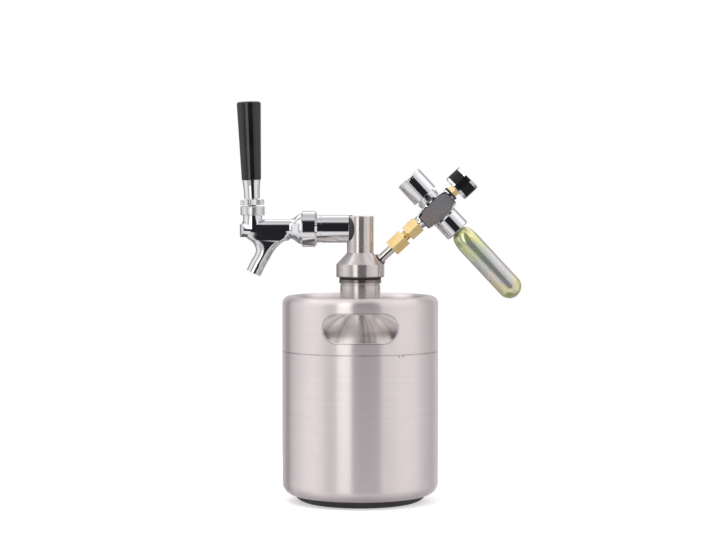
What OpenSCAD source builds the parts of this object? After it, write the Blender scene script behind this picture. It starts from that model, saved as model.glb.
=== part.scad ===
// Mini keg beer dispenser: a stainless keg with hand holes, a screw-in head that carries
// a chrome tap on one side and a cartridge gas regulator with a gauge on the other.
// Millimetres. +Z is up, the tap points to -X and the regulator to +X.
// The origin is the middle of the rubber base, on the surface that the keg stands on.

/* [Base] */
// Height of the rubber base below the keg
base_h = 7.6; // [6:0.2:12]
// Diameter of the base where it touches the table
base_foot_d = 115; // [100:1:125]
// Diameter of the base where it meets the keg
base_top_d = 134; // [128:1:135]
// Depth of the grip grooves under the base
base_groove = 0.8; // [0.4:0.1:1.5]
// Number of grip grooves
base_grooves = 3; // [2:1:4]

/* [Keg shell] */
// Outer diameter of the keg
keg_d = 160; // [150:1:180]
// Sheet thickness of the keg
keg_wall = 1; // [0.8:0.1:1.2]
// Radius of the bottom corner
keg_corner_r = 12.5; // [10:0.5:12.5]
// Height of the lower shell, from its bottom to the seam
keg_body_h = 147.4; // [120:1:180]
// Width of the seam that shows between the lower shell and the collar
seam_w = 0.6; // [0.4:0.1:1]
// Depth of the seam below the shell's surface
seam_depth = 0.5; // [0.2:0.1:0.6]
// Height of the collar, from the seam to the top of the rim
collar_h = 56; // [54:1:70]
// Radius of the rolled rim
rim_r = 7.5; // [6:0.5:8.5]
// Length of the straight hem inside the rolled rim
rim_hem = 3; // [2:0.5:5]

/* [Hand holes] */
// Width of a hand hole
hole_w = 74.6; // [68:1:82]
// Height of a hand hole
hole_h = 28.2; // [25:0.2:29]
// Height of a hand hole's middle above the seam
hole_rise = 26.3; // [25:0.1:28]
// Thickness of the turned-in lip round a hand hole
hole_lip_t = 1.2; // [0.8:0.1:1.6]
// Depth that the lip turns in, from the outside of the collar
hole_lip_depth = 2.1; // [1.6:0.1:2.1]

/* [Dome and neck] */
// Height of the dome's skirt below the seam
dome_skirt = 4; // [3:0.5:8]
// Height above the seam at which the dome starts to curve
dome_start = 4.4; // [3:0.2:4.6]
// Height of the elliptical dome
dome_rise = 35.3; // [32:0.5:36]
// Outer diameter of the neck
neck_d = 41.4; // [38:0.2:42]
// Wall of the neck
neck_wall = 1.9; // [1.6:0.1:2.2]
// Height of the neck's top above the rim
neck_stand = 17.5; // [14:0.5:24]
// Length of the neck that reaches below the dome's top
neck_root = 7; // [5:0.5:12]
// Diameter of the lip at the top of the neck
lip_d = 43.4; // [42.4:0.2:46]
// Height of the lip
lip_h = 5; // [3:0.5:7]
// Size of the weld bead round the neck
neck_bead = 2.2; // [1.5:0.1:3]
// Thickness of the gasket between neck and head
gasket_h = 1.6; // [1:0.1:2.4]

/* [Head] */
// Diameter of the head's skirt
skirt_d = 49.6; // [46:0.2:54]
// Height of the head's skirt
skirt_h = 13.1; // [11:0.1:16]
// Diameter of the post that carries the tap
post_d = 27.6; // [25.6:0.2:28]
// Height of the post above the tap's axis
post_over = 13.3; // [12.5:0.1:15]
// Height of the tap's axis above the underside of the skirt
tap_rise = 49.3; // [47:0.5:56]
// Length of the threaded spigot that goes into the neck
spigot_len = 22.7; // [20:0.5:28]
// Radius of the side pocket for the shank
pocket_r = 14.6; // [13.8:0.1:15]
// Distance from the keg's axis to the floor of the side pocket
pocket_floor = 7.9; // [7.5:0.1:8.5]
// Bore of the beer passage
beer_bore_d = 6; // [5:0.2:7]
// Edge chamfer of the head
head_chamfer = 0.7; // [0.4:0.1:1.2]

/* [Dip tube] */
// Outer diameter of the dip tube
dip_d = 8; // [7.6:0.1:9]
// Wall of the dip tube
dip_wall = 1; // [0.8:0.1:1.2]
// Length of the dip tube inside the head
dip_socket = 28; // [24:1:34]
// Gap between the dip tube and the bottom of the keg
dip_gap = 6; // [4:0.5:15]

/* [Shank and coupling] */
// Outer diameter of the shank tube
shank_d = 28.6; // [26.8:0.1:29]
// Length of the shank tube between head and coupling
shank_len = 29.1; // [22:0.5:45]
// Thickness of the sealing washer between head and shank
shank_seal_t = 3.5; // [2:0.1:4]
// Diameter of the shank's threaded stub in the head
stub_d = 16; // [15:0.2:17]
// Bore of the shank
shank_bore_d = 9; // [8:0.2:10]
// Diameter of the shank's neck inside the coupling nut
shank_neck_d = 22; // [21:0.2:23]
// Thickness of the flange that holds the nut on the shank
shank_flange_t = 3; // [2.5:0.1:3.5]
// Outer diameter of the coupling nut
nut_d = 37.2; // [34:0.2:40]
// Length of the coupling nut
nut_len = 15.8; // [15:0.2:20]
// Diameter of the coupling nut's tail
nut_tail_d = 28; // [26.5:0.1:29]
// Length of the coupling nut's tail
nut_tail_len = 3.7; // [3:0.1:5]
// Diameter of the thread between nut and tap
coupling_thread_d = 28.9; // [28.6:0.1:30]
// Number of spanner holes in the coupling nut
spanner_holes = 3; // [2:1:4]
// Diameter of a spanner hole
spanner_hole_d = 4.4; // [3.5:0.1:5]
// Thickness of the washer between shank and tap
coupling_washer_t = 1.5; // [1:0.1:1.8]

/* [Tap body] */
// Distance from the coupling nut's front to the lever's axis
tap_reach = 50.4; // [49:0.2:56]
// Diameter of the tap's barrel
barrel_d = 19.5; // [18.8:0.1:20.5]
// Diameter of the flare beside the coupling nut
flare_d = 31.6; // [30:0.2:34]
// Length of the flare
flare_len = 12.2; // [10:0.2:14]
// Distance from the lever's axis to the tap's front face
nose_reach = 13.2; // [12.6:0.1:14]
// Height of the front face above the tap's axis
nose_top = 4.7; // [4:0.1:6]
// Depth of the front face below the tap's axis
nose_bottom = 8.3; // [8:0.1:8.8]
// Diameter of the tower under the lever
tower_d = 19.9; // [19.6:0.1:20.6]
// Height of the tower's shoulder above the tap's axis
tower_rise = 14; // [13:0.1:15]
// Outer diameter of the spout
spout_d = 15.7; // [14.6:0.1:16.4]
// Bore of the spout at its tip
spout_bore_d = 11; // [10:0.1:11.6]
// Length of the straight bore above the tip
spout_bore_len = 14; // [12:0.5:14]
// Lean of the spout from vertical
spout_tilt = 25.5; // [24:0.5:27]
// Distance of the spout's tip behind the lever's axis
tip_back = 0.9; // [0.2:0.1:1.8]
// Drop of the spout's tip below the tap's axis
tip_drop = 45.2; // [44:0.2:48]
// Bore that guides the front of the valve shaft
guide_d = 9.1; // [8.8:0.1:9.5]
// Bore of the chamber behind the spout
chamber_d = 13; // [12:0.2:13.6]
// Diameter of the valve's seat
seat_d = 10; // [9:0.2:11]
// Bore behind the valve's seat
socket_d = 18; // [17:0.2:19]

/* [Valve shaft] */
// Diameter of the valve shaft
shaft_d = 5; // [4:0.2:5.6]
// Diameter of the seat washer
washer_d = 14; // [13:0.2:15]
// Thickness of the seat washer
washer_t = 3; // [2:0.2:3.4]
// Thickness of the nut that holds the seat washer
retainer_t = 3; // [2:0.2:3.4]
// Width of the slot that takes the lever's tip
slot_w = 5.6; // [5.4:0.1:6]

/* [Lever] */
// Height of the lever's ball above the tap's axis
pivot_rise = 16; // [15.6:0.1:16.6]
// Diameter of the lever's ball
ball_d = 14; // [13.4:0.1:14.4]
// Forward lean of the lever at rest
lever_lean = 1.9; // [0:0.1:3]
// Largest forward pull of the lever
lever_pull = 30; // [15:1:30]
// Diameter of the lever's rod above the ball
rod_d = 8; // [7:0.2:8.2]
// Diameter of the lever's rod below the ball
tail_d = 5; // [4:0.2:5.2]
// Diameter of the lever's rounded tip
tip_d = 4.8; // [4.4:0.1:5]
// Diameter of the bonnet that holds the ball
bonnet_ring_d = 25; // [24.4:0.1:25.4]
// Height of the bonnet
bonnet_ring_h = 9.4; // [9:0.1:9.6]
// Diameter of the knurled collar
collar_d = 24.6; // [24:0.1:25.4]
// Height of the knurled collar
collar_ring_h = 5.6; // [5.4:0.1:7]
// Height of the gap between bonnet and collar
collar_gap = 1.1; // [0.9:0.1:1.6]
// Number of knurls on the collar
knurls = 40; // [24:1:48]
// Depth of a knurl
knurl_depth = 0.4; // [0.2:0.05:0.6]

/* [Handle] */
// Diameter of the ferrule at its lower end
ferrule_low_d = 16.2; // [15:0.1:17]
// Diameter of the ferrule at its upper end
ferrule_top_d = 19; // [17.2:0.1:19.6]
// Length of the ferrule
ferrule_len = 19.7; // [16:0.1:24]
// Depth of the grip, front to back, at its lower end
grip_low_x = 20; // [18.2:0.1:21]
// Depth of the grip, front to back, at its top
grip_top_x = 24.9; // [22:0.1:28]
// Width of the grip, side to side, at its lower end
grip_low_y = 20; // [18.2:0.1:21]
// Width of the grip, side to side, at its top
grip_top_y = 27; // [22:0.1:32]
// Length of the grip
grip_len = 79.6; // [60:0.2:100]
// Radius of the grip's top edge
grip_edge_r = 2.4; // [1:0.1:4]
// Diameter of the stud that holds ferrule and grip on the lever
stud_d = 9.4; // [8.8:0.1:9.6]
// Depth of the stud inside the grip
stud_in_grip = 11; // [8:0.5:20]

/* [Gas stem] */
// Elevation of the gas side's axis
gas_angle = 43; // [38:0.5:45]
// Distance of the gas port from the keg's axis
gas_port_r = 20.3; // [19.6:0.1:20.6]
// Outer diameter of the gas stem
stem_d = 9; // [7:0.1:9.4]
// Bore of the gas stem
stem_bore_d = 4.4; // [3.6:0.1:4.8]
// Diameter of the gasket under the gas stem
stem_gasket_d = 13.4; // [12.4:0.1:13.8]
// Thickness of the gasket under the gas stem
stem_gasket_t = 1.4; // [1.2:0.1:2]
// Depth of the flat that the gasket sits on
spot_face = 0.9; // [0.6:0.1:1.1]
// Diameter of the gas stem's flange
stem_flange_d = 12; // [10.8:0.1:12.6]
// Thickness of the gas stem's flange
stem_flange_t = 2.3; // [1.6:0.1:3]
// Length of the gas stem between flange and nut
stem_len = 13.7; // [10:0.1:24]
// Size across the flats of the swivel nut
swivel_af = 17.2; // [15.6:0.1:18.4]
// Length of the swivel nut
swivel_len = 17.4; // [16:0.2:20]
// Thickness of the swivel nut's floor
swivel_floor = 4.7; // [3.5:0.1:6]
// Diameter of the gas fitting's thread
gas_thread_d = 10; // [9.6:0.1:10.4]
// Length of thread that shows between the two nuts
thread_show = 4.9; // [3:0.1:8]
// Size across the flats of the fixed fitting
fitting_af = 16.8; // [14:0.1:17.4]
// Length of the fixed fitting's hexagon
fitting_len = 14.7; // [10:0.1:18]
// Diameter of the outlet collar
outlet_d = 14.2; // [13.2:0.1:15]
// Length of the outlet collar
outlet_len = 4.4; // [3.6:0.1:8]

/* [Regulator] */
// Length of the regulator's front plate
plate_len = 37.2; // [32:0.2:42]
// Height of the front plate at its middle
plate_h = 20; // [18:0.2:21]
// Height of the front plate at its ends
plate_end_h = 10.6; // [9:0.2:13]
// Thickness of the front plate
plate_t = 1.2; // [0.8:0.1:1.6]
// Width of the chrome border round the front plate
plate_border = 0.9; // [0.6:0.1:1.4]
// Shift of the front plate along the gas side's axis
plate_shift = 1; // [0.4:0.1:2]
// Shift of the front plate towards the cartridge
plate_drop = 3; // [2.2:0.1:3.4]
// Height of chrome that shows beyond the border on the knob's side
shoulder_h = 1.4; // [0.8:0.1:2]
// Depth of the regulator's body, front to back
body_depth = 21; // [20:0.2:23]
// Diameter of the bonnet's visible ring
ring_d = 24.6; // [22.6:0.1:25.4]
// Distance from the regulator's middle to the bonnet's ring
ring_start = 10; // [9.6:0.1:11]
// Height of the bonnet's ring
ring_h = 4; // [3:0.1:4.6]
// Diameter of the bonnet's thread under the knob
bonnet_thread_d = 20.4; // [19.6:0.1:21]
// Bore of the spring chamber
spring_bore_d = 17.2; // [16.4:0.1:17.6]
// Length of the bonnet's thread
bonnet_thread_len = 15; // [12:0.5:17]
// Diameter of the gauge's boss on the body
boss_d = 15; // [13.5:0.1:16]

/* [Knob] */
// Diameter of the knob
knob_d = 28.8; // [26.4:0.1:30]
// Length of the knob
knob_len = 25.2; // [24:0.1:30]
// Gap between the bonnet's ring and the knob
knob_gap = 2.2; // [2.1:0.1:3]
// Distance of the knob's groove from its end
knob_groove_at = 2.5; // [2:0.1:4]
// Thickness of the knob's end
knob_end_t = 5; // [4:0.2:7]
// Thread pitch of the knob
knob_pitch = 1.25; // [1:0.05:1.25]
// Thickness of the spring seat
spring_seat_t = 2.5; // [2:0.1:3.5]
// Wire of the pressure spring
spring_wire_d = 2; // [1.6:0.1:2.2]
// Coils of the pressure spring
spring_coils = 5; // [4:0.5:6]

/* [Valve of the regulator] */
// Thickness of the piston
piston_t = 3; // [2.6:0.1:3.4]
// Bore of the valve's seat in the regulator
valve_seat_d = 2.4; // [2:0.1:2.8]
// Bore of the valve chamber
valve_bore_d = 6.4; // [6:0.1:7]
// Wire of the valve's spring
valve_wire_d = 0.8; // [0.6:0.05:0.9]

/* [Cartridge side] */
// Diameter of the sleeve next to the body
sleeve_low_d = 27.2; // [25:0.1:28]
// Diameter of the sleeve at its end
sleeve_end_d = 27.4; // [25:0.1:28.4]
// Distance from the regulator's middle to the sleeve's end
sleeve_reach = 33.1; // [32:0.1:38]
// Diameter of the cartridge
cartridge_d = 25; // [21:0.1:25.6]
// Visible length of the cartridge
cartridge_len = 90.1; // [70:0.1:110]
// Wall of the cartridge
cartridge_wall = 1.1; // [0.9:0.1:1.6]
// Length of the cartridge's rounded shoulder
shoulder_len = 17; // [12:0.5:20]
// Diameter of the cartridge's neck
cartridge_neck_d = 9.4; // [8.8:0.1:9.6]
// Length of the cartridge's neck inside the sleeve
cartridge_neck_len = 12.3; // [10:0.1:12.6]
// Diameter of the piercing pin
pin_d = 2.4; // [2:0.1:2.6]

/* [Gauge] */
// Diameter of the gauge's case
gauge_d = 28.7; // [26:0.1:32]
// Depth of the gauge's black case
case_h = 13.3; // [12:0.1:15]
// Wall of the gauge's case
case_wall = 1.2; // [1:0.1:1.5]
// Thickness of the chrome ring behind the case
back_ring_t = 3; // [1.6:0.1:3.4]
// Thickness of the chrome bezel
bezel_t = 2; // [1.8:0.1:3]
// Width of the bezel over the lens
bezel_w = 2.6; // [2.4:0.1:3.2]
// Thickness of the lens
lens_t = 1.2; // [1:0.1:1.6]
// Diameter of the rubber band under the gauge's stem
band_d = 15.4; // [14.4:0.1:16.4]
// Thickness of the rubber band under the gauge's stem
band_t = 2.5; // [2.2:0.1:3.6]
// Size across the flats of the gauge's stem
gauge_af = 11; // [10.4:0.1:12]
// Length of the hexagon of the gauge's stem
gauge_hex_len = 5.2; // [4:0.1:9]
// Diameter of the gauge's thread
gauge_thread_d = 9.6; // [9:0.1:9.8]

/* [Fits] */
// Radial gap of pieces that are screwed or pushed together
fit_gap = 0.05; // [0.03:0.01:0.08]
// Radial gap of pieces that turn or slide in each other
run_gap = 0.08; // [0.05:0.01:0.1]
// Gap between faces of pieces that move past each other
free_gap = 0.3; // [0.2:0.05:0.4]

/* [Hidden] */
$fn = 96;
CHORDS = 8; // straight steps in a quarter circle of a turned outline
eps = 0.01;

// Colours
STEEL = [0.80, 0.77, 0.77];
CHROME = [0.86, 0.86, 0.88];
BRASS = [0.86, 0.70, 0.36];
RUBBER = [0.08, 0.08, 0.08];
NYLON = [0.92, 0.92, 0.88];
ZINC = [0.70, 0.72, 0.42];

// Keg
keg_r = keg_d / 2;
seam_z = base_h + keg_body_h;
collar_z = seam_z + seam_w;
rim_z = collar_z + collar_h;
dome_r = keg_r - keg_wall - fit_gap;
dome_z = collar_z + dome_start;
neck_r = neck_d / 2;
neck_bore_r = neck_r - neck_wall;
neck_top = rim_z + neck_stand;
neck_foot = dome_height(neck_r) - neck_root;
hole_z = seam_z + hole_rise + seam_w;

// Head
head_z = neck_top + gasket_h;
cone_z = head_z + skirt_h;
skirt_r = skirt_d / 2;
post_r = post_d / 2;
cone_h = (skirt_r - post_r) / tan(gas_angle);
spigot_r = neck_bore_r - run_gap;
spigot_z = head_z - spigot_len;
tap_z = head_z + tap_rise;
head_top = tap_z + post_over;
dip_r = dip_d / 2;
dip_top = spigot_z + dip_socket;
dip_end = base_h + keg_wall + dip_gap;
oring_t = 2.4;
spigot_oring_z = spigot_z + 4;
dip_seal_z = spigot_z + 7;

// Shank and coupling, as distances from the keg's axis towards the tap
shank_start = pocket_floor + shank_seal_t;
shank_end = shank_start + shank_len;
nut_start = shank_end + nut_tail_len;
nut_front = nut_start + nut_len;
nut_floor = nut_start + 2.6;
flange_start = nut_floor + 0.2;
flange_end = flange_start + shank_flange_t;
tap_back = flange_end + coupling_washer_t;
nut_bore_r = coupling_thread_d / 2;
pass_r = 8; // bore round the seat washer's nut, in shank and coupling washer

// Tap
pivot_d = nut_front + tap_reach;
pivot_x = -pivot_d;
pivot_z = tap_z + pivot_rise;
nose_d = pivot_d + nose_reach;
flare_start = nut_front + free_gap;
barrel_r = barrel_d / 2;
barrel_start = flare_start + flare_len;
tower_r = tower_d / 2;
tower_z = tap_z + tower_rise;
seat_face = tap_back + 10.5;
chamber_start = seat_face + 2.5;
guide_start = pivot_d - 18.5;
guide_end = pivot_d + 8.6;
ball_r = ball_d / 2;
socket_r = ball_r + run_gap;
tower_bore_r = 8;
tower_floor = pivot_z - 4.8;
tower_thread_top = pivot_z + 3;
tower_thread_r = tower_r - 0.35;
tip_x = pivot_x + tip_back;
tip_z = tap_z - tip_drop;

// Lever, as heights above the middle of its ball
lever_arm = pivot_rise;
bonnet_top = tower_z + bonnet_ring_h - pivot_z;
collar_low = bonnet_top + collar_gap;
collar_top = collar_low + collar_ring_h;
ferrule_low = collar_top + 0.9;
ferrule_top = ferrule_low + ferrule_len;
grip_top = ferrule_top + grip_len;
bonnet_edge = 1;
sweep_r = norm([bonnet_ring_d / 2, bonnet_top - bonnet_edge]) + free_gap;
tail_shift = lever_arm * sin(lever_lean);
slot_d = pivot_d - tail_shift;

// Gas side, as distances from the gas port along its axis
gas_port_z = cone_z + (skirt_r - gas_port_r) / tan(gas_angle);
flange_t0 = stem_gasket_t - spot_face;
flange_t1 = flange_t0 + stem_flange_t;
swivel_t0 = flange_t1 + stem_len;
swivel_t1 = swivel_t0 + swivel_len;
stem_head_t = swivel_t0 + swivel_floor + 0.1;
stem_end = stem_head_t + 3.2;
flare_t = 1.1;
fitting_t0 = swivel_t1 + thread_show;
fitting_t1 = fitting_t0 + fitting_len;
outlet_t1 = fitting_t1 + outlet_len;

// Regulator, in its own frame: X along the gas axis, Z towards the knob
block_len = plate_len + 2 * plate_border;
block_h = plate_h + 2 * plate_border + shoulder_h;
block_end_h = plate_end_h + 2 * plate_border + shoulder_h + 2.6;
block_drop = plate_drop - shoulder_h / 2;
block_x0 = -plate_shift - block_len / 2;
block_x1 = -plate_shift + block_len / 2;
reg_t = outlet_t1 - block_x0;
reg_x = gas_port_r + reg_t * cos(gas_angle);
reg_z = gas_port_z + reg_t * sin(gas_angle);
gas_thread_r = gas_thread_d / 2;
spring_bore_r = spring_bore_d / 2;
chamber_z = 3;
ring_top = ring_start + ring_h;
bonnet_end = ring_top + bonnet_thread_len;
knob_low = ring_top + knob_gap;
knob_top = knob_low + knob_len;
knob_ceiling = knob_top - knob_end_t;
thread_r = bonnet_thread_d / 2;
seat_boss = 8;
spring_seat_top = knob_ceiling - seat_boss;
spring_seat_low = spring_seat_top - spring_seat_t;
piston_low = chamber_z + 0.4;
piston_top = piston_low + piston_t;
valve_seat_z = -3;
pin_base_t = 1.8;
pin_seal_t = 1.5;
neck_end = sleeve_reach - cartridge_neck_len;
pin_floor = neck_end - pin_seal_t - pin_base_t;
sleeve_start = block_drop + block_h / 2 + 0.5;

// Gauge, as distances from the gas port along the gas axis
band_t0 = reg_t + block_x1 + 0.95;
hex_t0 = band_t0 + band_t;
hex_t1 = hex_t0 + gauge_hex_len;
case_t0 = hex_t1 + back_ring_t;
case_t1 = case_t0 + case_h;
bezel_t1 = case_t1 + bezel_t;
gauge_r = gauge_d / 2;
case_floor = 1.4;
dial_t = 0.6;
lens_t1 = case_t1 + 0.8;
lens_t0 = lens_t1 - lens_t;
dial_t1 = lens_t0 - 3.4;
spindle_r = 0.6;
gauge_socket = 8;

// ---- Outlines ----

// Points of an arc about [x, y]
function arc(x, y, r, from, to) =
    [for (i = [0:CHORDS]) let (a = from + (to - from) * i / CHORDS) [x + r * cos(a), y + r * sin(a)]];

// Height of the dome's outer surface at a distance from the axis
function dome_height(r, shell = 0) =
    dome_z + (dome_rise - shell) * sqrt(1 - pow(min(1, r / (dome_r - shell)), 2));

// Points of the dome's outline from the wall to the neck
function dome_line(shell, r_end, steps = 18) =
    let (r0 = dome_r - shell, a1 = acos(r_end / r0))
    [for (i = [0:steps]) let (a = a1 * i / steps) [r0 * cos(a), dome_z + (dome_rise - shell) * sin(a)]];

// Outline with straight teeth all round
function toothed(r, count, depth) =
    [for (i = [0:2 * count - 1]) let (a = 180 * i / count, q = r - depth * (i % 2)) [q * cos(a), q * sin(a)]];

// Smooth curve through the points p, at u from 0 to len(p) - 1
function curve(p, u) =
    let (
        last = len(p) - 1,
        k = min(floor(u), last - 1),
        t = u - k,
        a = p[max(k - 1, 0)],
        b = p[k],
        c = p[k + 1],
        d = p[min(k + 2, last)]
    )
    0.5 * (2 * b + (c - a) * t + (2 * a - 5 * b + 4 * c - d) * t * t + (3 * b - a - 3 * c + d) * t * t * t);

// ---- Placing ----

// Z becomes the direction towards the tap, counted from the keg's axis
module tapward() translate([0, 0, tap_z]) rotate([0, -90, 0]) children();

// Z becomes the lever's axis, counted from the middle of its ball
module on_lever() translate([pivot_x, 0, pivot_z]) rotate([0, -lever_lean, 0]) children();

// Z becomes the spout's axis, counted upwards from its tip
module on_spout() translate([tip_x, 0, tip_z]) rotate([0, spout_tilt, 0]) children();

// Z becomes the gas axis, counted from the gas port
module on_gas() translate([gas_port_r, 0, gas_port_z]) rotate([0, 90 - gas_angle, 0]) children();

// The regulator's frame: X along the gas axis and Z towards the knob
module on_regulator() translate([reg_x, 0, reg_z]) rotate([0, -gas_angle, 0]) children();

// Z becomes the direction towards the cartridge, counted from the regulator's middle
module on_sleeve() on_regulator() rotate([0, 180, 0]) children();

// ---- Shapes that repeat ----

module turned(points) rotate_extrude() polygon(points);

// A round bar from z0 to z1
module bar(r, z0, z1) translate([0, 0, z0]) cylinder(r = r, h = z1 - z0);

module ring(r_out, r_in, z0, z1) {
    difference() {
        bar(r_out, z0, z1);
        bar(r_in, z0 - 1, z1 + 1);
    }
}

// A round bar with a chamfer at both ends
module chamfered(r, z0, z1, c0, c1) {
    turned([[0, z0], [r - c0, z0], [r, z0 + c0], [r, z1 - c1], [r - c1, z1], [0, z1]]);
}

// A hexagon bar whose corners are turned down at both ends
module hex_bar(af, z0, z1, corner = 0.8) {
    r = af / 2 / cos(30);
    intersection() {
        translate([0, 0, z0]) rotate([0, 0, 30]) linear_extrude(z1 - z0) circle(r = r, $fn = 6);
        turned([[0, z0], [r - corner, z0], [r + eps, z0 + corner * 0.6],
            [r + eps, z1 - corner * 0.6], [r - corner, z1], [0, z1]]);
    }
}

module o_ring(r, t, z) translate([0, 0, z]) rotate_extrude() translate([r, 0]) circle(d = t, $fn = 24);

// A straight round hole from p to q in the plane Y = 0, given as [x, z]
module drill(p, q, r) {
    v = q - p;
    translate([p[0], 0, p[1]]) rotate([0, atan2(v[0], v[1]), 0]) cylinder(r = r, h = norm(v));
}

module slot_2d(w, h) {
    square([w - h, h], center = true);
    for (s = [-1, 1]) translate([s * (w - h) / 2, 0]) circle(d = h);
}

// A closed skin over rings of points, which run clockwise seen from the first ring
module skin(rings) {
    n = len(rings[0]);
    last = len(rings) - 1;
    polyhedron(
        points = [for (r = rings) each r],
        faces = concat(
            [[for (i = [0:n - 1]) i]],
            [[for (i = [n - 1:-1:0]) last * n + i]],
            [for (j = [0:last - 1], i = [0:n - 1])
                let (a = j * n + i, b = j * n + (i + 1) % n) each [[a, a + n, b], [b, a + n, b + n]]]
        )
    );
}

// A coil spring with flat-lying ends, standing on Z = 0
module coil(r, wire, height, turns, sides = 6, steps = 14) {
    n = round(turns * steps);
    rise = (height - wire) / turns;
    skin([for (k = [0:n])
        let (a = 360 * k / steps, z = wire / 2 + rise * turns * k / n)
        [for (i = [0:sides - 1])
            let (b = -360 * i / sides, q = r + wire / 2 * cos(b))
            [q * cos(a), q * sin(a), z + wire / 2 * sin(b)]]]);
}

// ---- Keg ----

module keg_body() {
    c = keg_corner_r;
    z = base_h;
    color(STEEL) turned(concat(
        [[0, z]],
        arc(keg_r - c, z + c, c, -90, 0),
        [[keg_r, seam_z - 0.3], [keg_r - 0.3, seam_z], [keg_r - keg_wall, seam_z]],
        arc(keg_r - c, z + c, c - keg_wall, 0, -90),
        [[0, z + keg_wall]]
    ));
}

// The dome is welded in at the seam, where its thin edge shows between shell and collar
module keg_dome() {
    hole = neck_r + fit_gap;
    foot = seam_z - dome_skirt;
    inner = dome_r - keg_wall;
    color(STEEL) turned(concat(
        [[inner, foot], [dome_r, foot], [dome_r, seam_z], [keg_r - seam_depth, seam_z],
            [keg_r - seam_depth, collar_z], [dome_r, collar_z]],
        dome_line(0, hole),
        [for (i = [0:18]) dome_line(keg_wall, hole)[18 - i]]
    ));
}

module hand_hole(grow, r_in, r_out) {
    intersection() {
        translate([0, 0, hole_z]) rotate([90, 0, 0])
            linear_extrude(keg_d, center = true) slot_2d(hole_w + 2 * grow, hole_h + 2 * grow);
        ring(r_out, r_in, collar_z, rim_z - rim_r);
    }
}

module keg_collar() {
    t = keg_wall;
    cx = keg_r - rim_r;
    cz = rim_z - rim_r;
    color(STEEL) difference() {
        union() {
            turned(concat(
                [[keg_r - t, collar_z], [keg_r - 0.3, collar_z], [keg_r, collar_z + 0.3]],
                arc(cx, cz, rim_r, 0, 180),
                [[cx - rim_r, cz - rim_hem], [cx - rim_r + t, cz - rim_hem]],
                arc(cx, cz, rim_r - t, 180, 0)
            ));
            hand_hole(hole_lip_t, keg_r - hole_lip_depth, keg_r - t / 2);
        }
        hand_hole(0, keg_r - 2 * hole_lip_depth, keg_r + 1);
    }
}

module keg_neck() {
    groove = 0.45 * neck_wall;
    bead_r = neck_r + neck_bead;
    lip_r = lip_d / 2;
    color(STEEL) turned([
        [neck_bore_r, neck_foot], [neck_r, neck_foot], [neck_r, dome_height(neck_r) + eps],
        [bead_r, dome_height(bead_r) + 0.15], [bead_r, dome_height(bead_r) + 0.5],
        [neck_r, dome_height(neck_r) + neck_bead],
        [neck_r, neck_top - lip_h - 1.5], [neck_r - groove, neck_top - lip_h - 1.2], [neck_r - groove, neck_top - lip_h],
        [lip_r - 0.6, neck_top - lip_h], [lip_r, neck_top - lip_h + 0.6],
        [lip_r, neck_top - 0.8], [lip_r - 0.8, neck_top], [neck_bore_r, neck_top]
    ]);
}

module base_ring() {
    foot_r = base_foot_d / 2;
    top_r = base_top_d / 2;
    color(RUBBER) difference() {
        turned([
            [0, 0], [foot_r - 1, 0], [foot_r + 1.5, 0.6], [foot_r + 0.55 * (top_r - foot_r), base_h * 0.28],
            [foot_r + 0.86 * (top_r - foot_r), base_h * 0.6], [top_r, base_h * 0.9], [top_r, base_h], [0, base_h]
        ]);
        for (i = [1:base_grooves])
            let (r = foot_r * i / (base_grooves + 1)) ring(r + 2, r - 2, -1, base_groove);
    }
}

module neck_gasket() {
    color(RUBBER) ring(lip_d / 2 - 0.2, neck_bore_r, neck_top, head_z);
}

// ---- Head ----

module spigot_oring() {
    color(RUBBER) o_ring(neck_bore_r - 0.02 - oring_t / 2, oring_t, spigot_oring_z);
}

module head_body() {
    c = head_chamfer;
    groove_r = neck_bore_r - 0.02 - oring_t;
    color(STEEL) difference() {
        turned([
            [0, spigot_z], [spigot_r - 1, spigot_z], [spigot_r, spigot_z + 1],
            [spigot_r, spigot_oring_z - oring_t * 0.6], [groove_r, spigot_oring_z - oring_t * 0.6],
            [groove_r, spigot_oring_z + oring_t * 0.6], [spigot_r, spigot_oring_z + oring_t * 0.6],
            [spigot_r, head_z], [skirt_r - c, head_z], [skirt_r, head_z + c],
            [skirt_r, cone_z], [post_r, cone_z + cone_h],
            [post_r, head_top - c], [post_r - c, head_top], [0, head_top]
        ]);
        // side pocket, and the socket of the shank's stub
        tapward() {
            bar(pocket_r, pocket_floor, post_r + 4);
            bar(stub_d / 2 + fit_gap, -6.2, pocket_floor + 1);
        }
        // socket, seal groove and passage of the dip tube
        bar(dip_r + fit_gap, spigot_z - 1, dip_top);
        bar(dip_r + oring_t, dip_seal_z - oring_t * 0.6, dip_seal_z + oring_t * 0.6);
        bar(beer_bore_d / 2, dip_top - 1, tap_z);
        // gas passage: down the spigot, and out along the gas axis
        translate([gallery_x, 0, 0]) bar(2, spigot_z - 1, gas_port_z - gallery_t * sin(gas_angle) + 1);
        on_gas() {
            bar(7, -spot_face, 8);
            bar(stem_d / 2 + fit_gap, -stem_root, 1);
            bar(2.4, -gallery_t - 0.6, -stem_root + 1);
        }
    }
}
gallery_x = 11;
gallery_t = (gas_port_r - gallery_x) / cos(gas_angle);
stem_root = 8;

module dip_tube() {
    color(STEEL) difference() {
        ring(dip_r, dip_r - dip_wall, dip_end, dip_top);
        translate([0, 0, dip_end]) rotate([0, 35, 0]) translate([0, 0, -dip_d]) cube(2 * dip_d, center = true);
    }
}

module dip_tube_seal() {
    color(RUBBER) o_ring(dip_r + oring_t / 2, oring_t, dip_seal_z);
}

// ---- Shank and coupling ----

module shank_seal() {
    color(RUBBER) tapward() ring(pocket_r - 0.5, stub_d / 2 + fit_gap, pocket_floor, shank_start);
}

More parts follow.
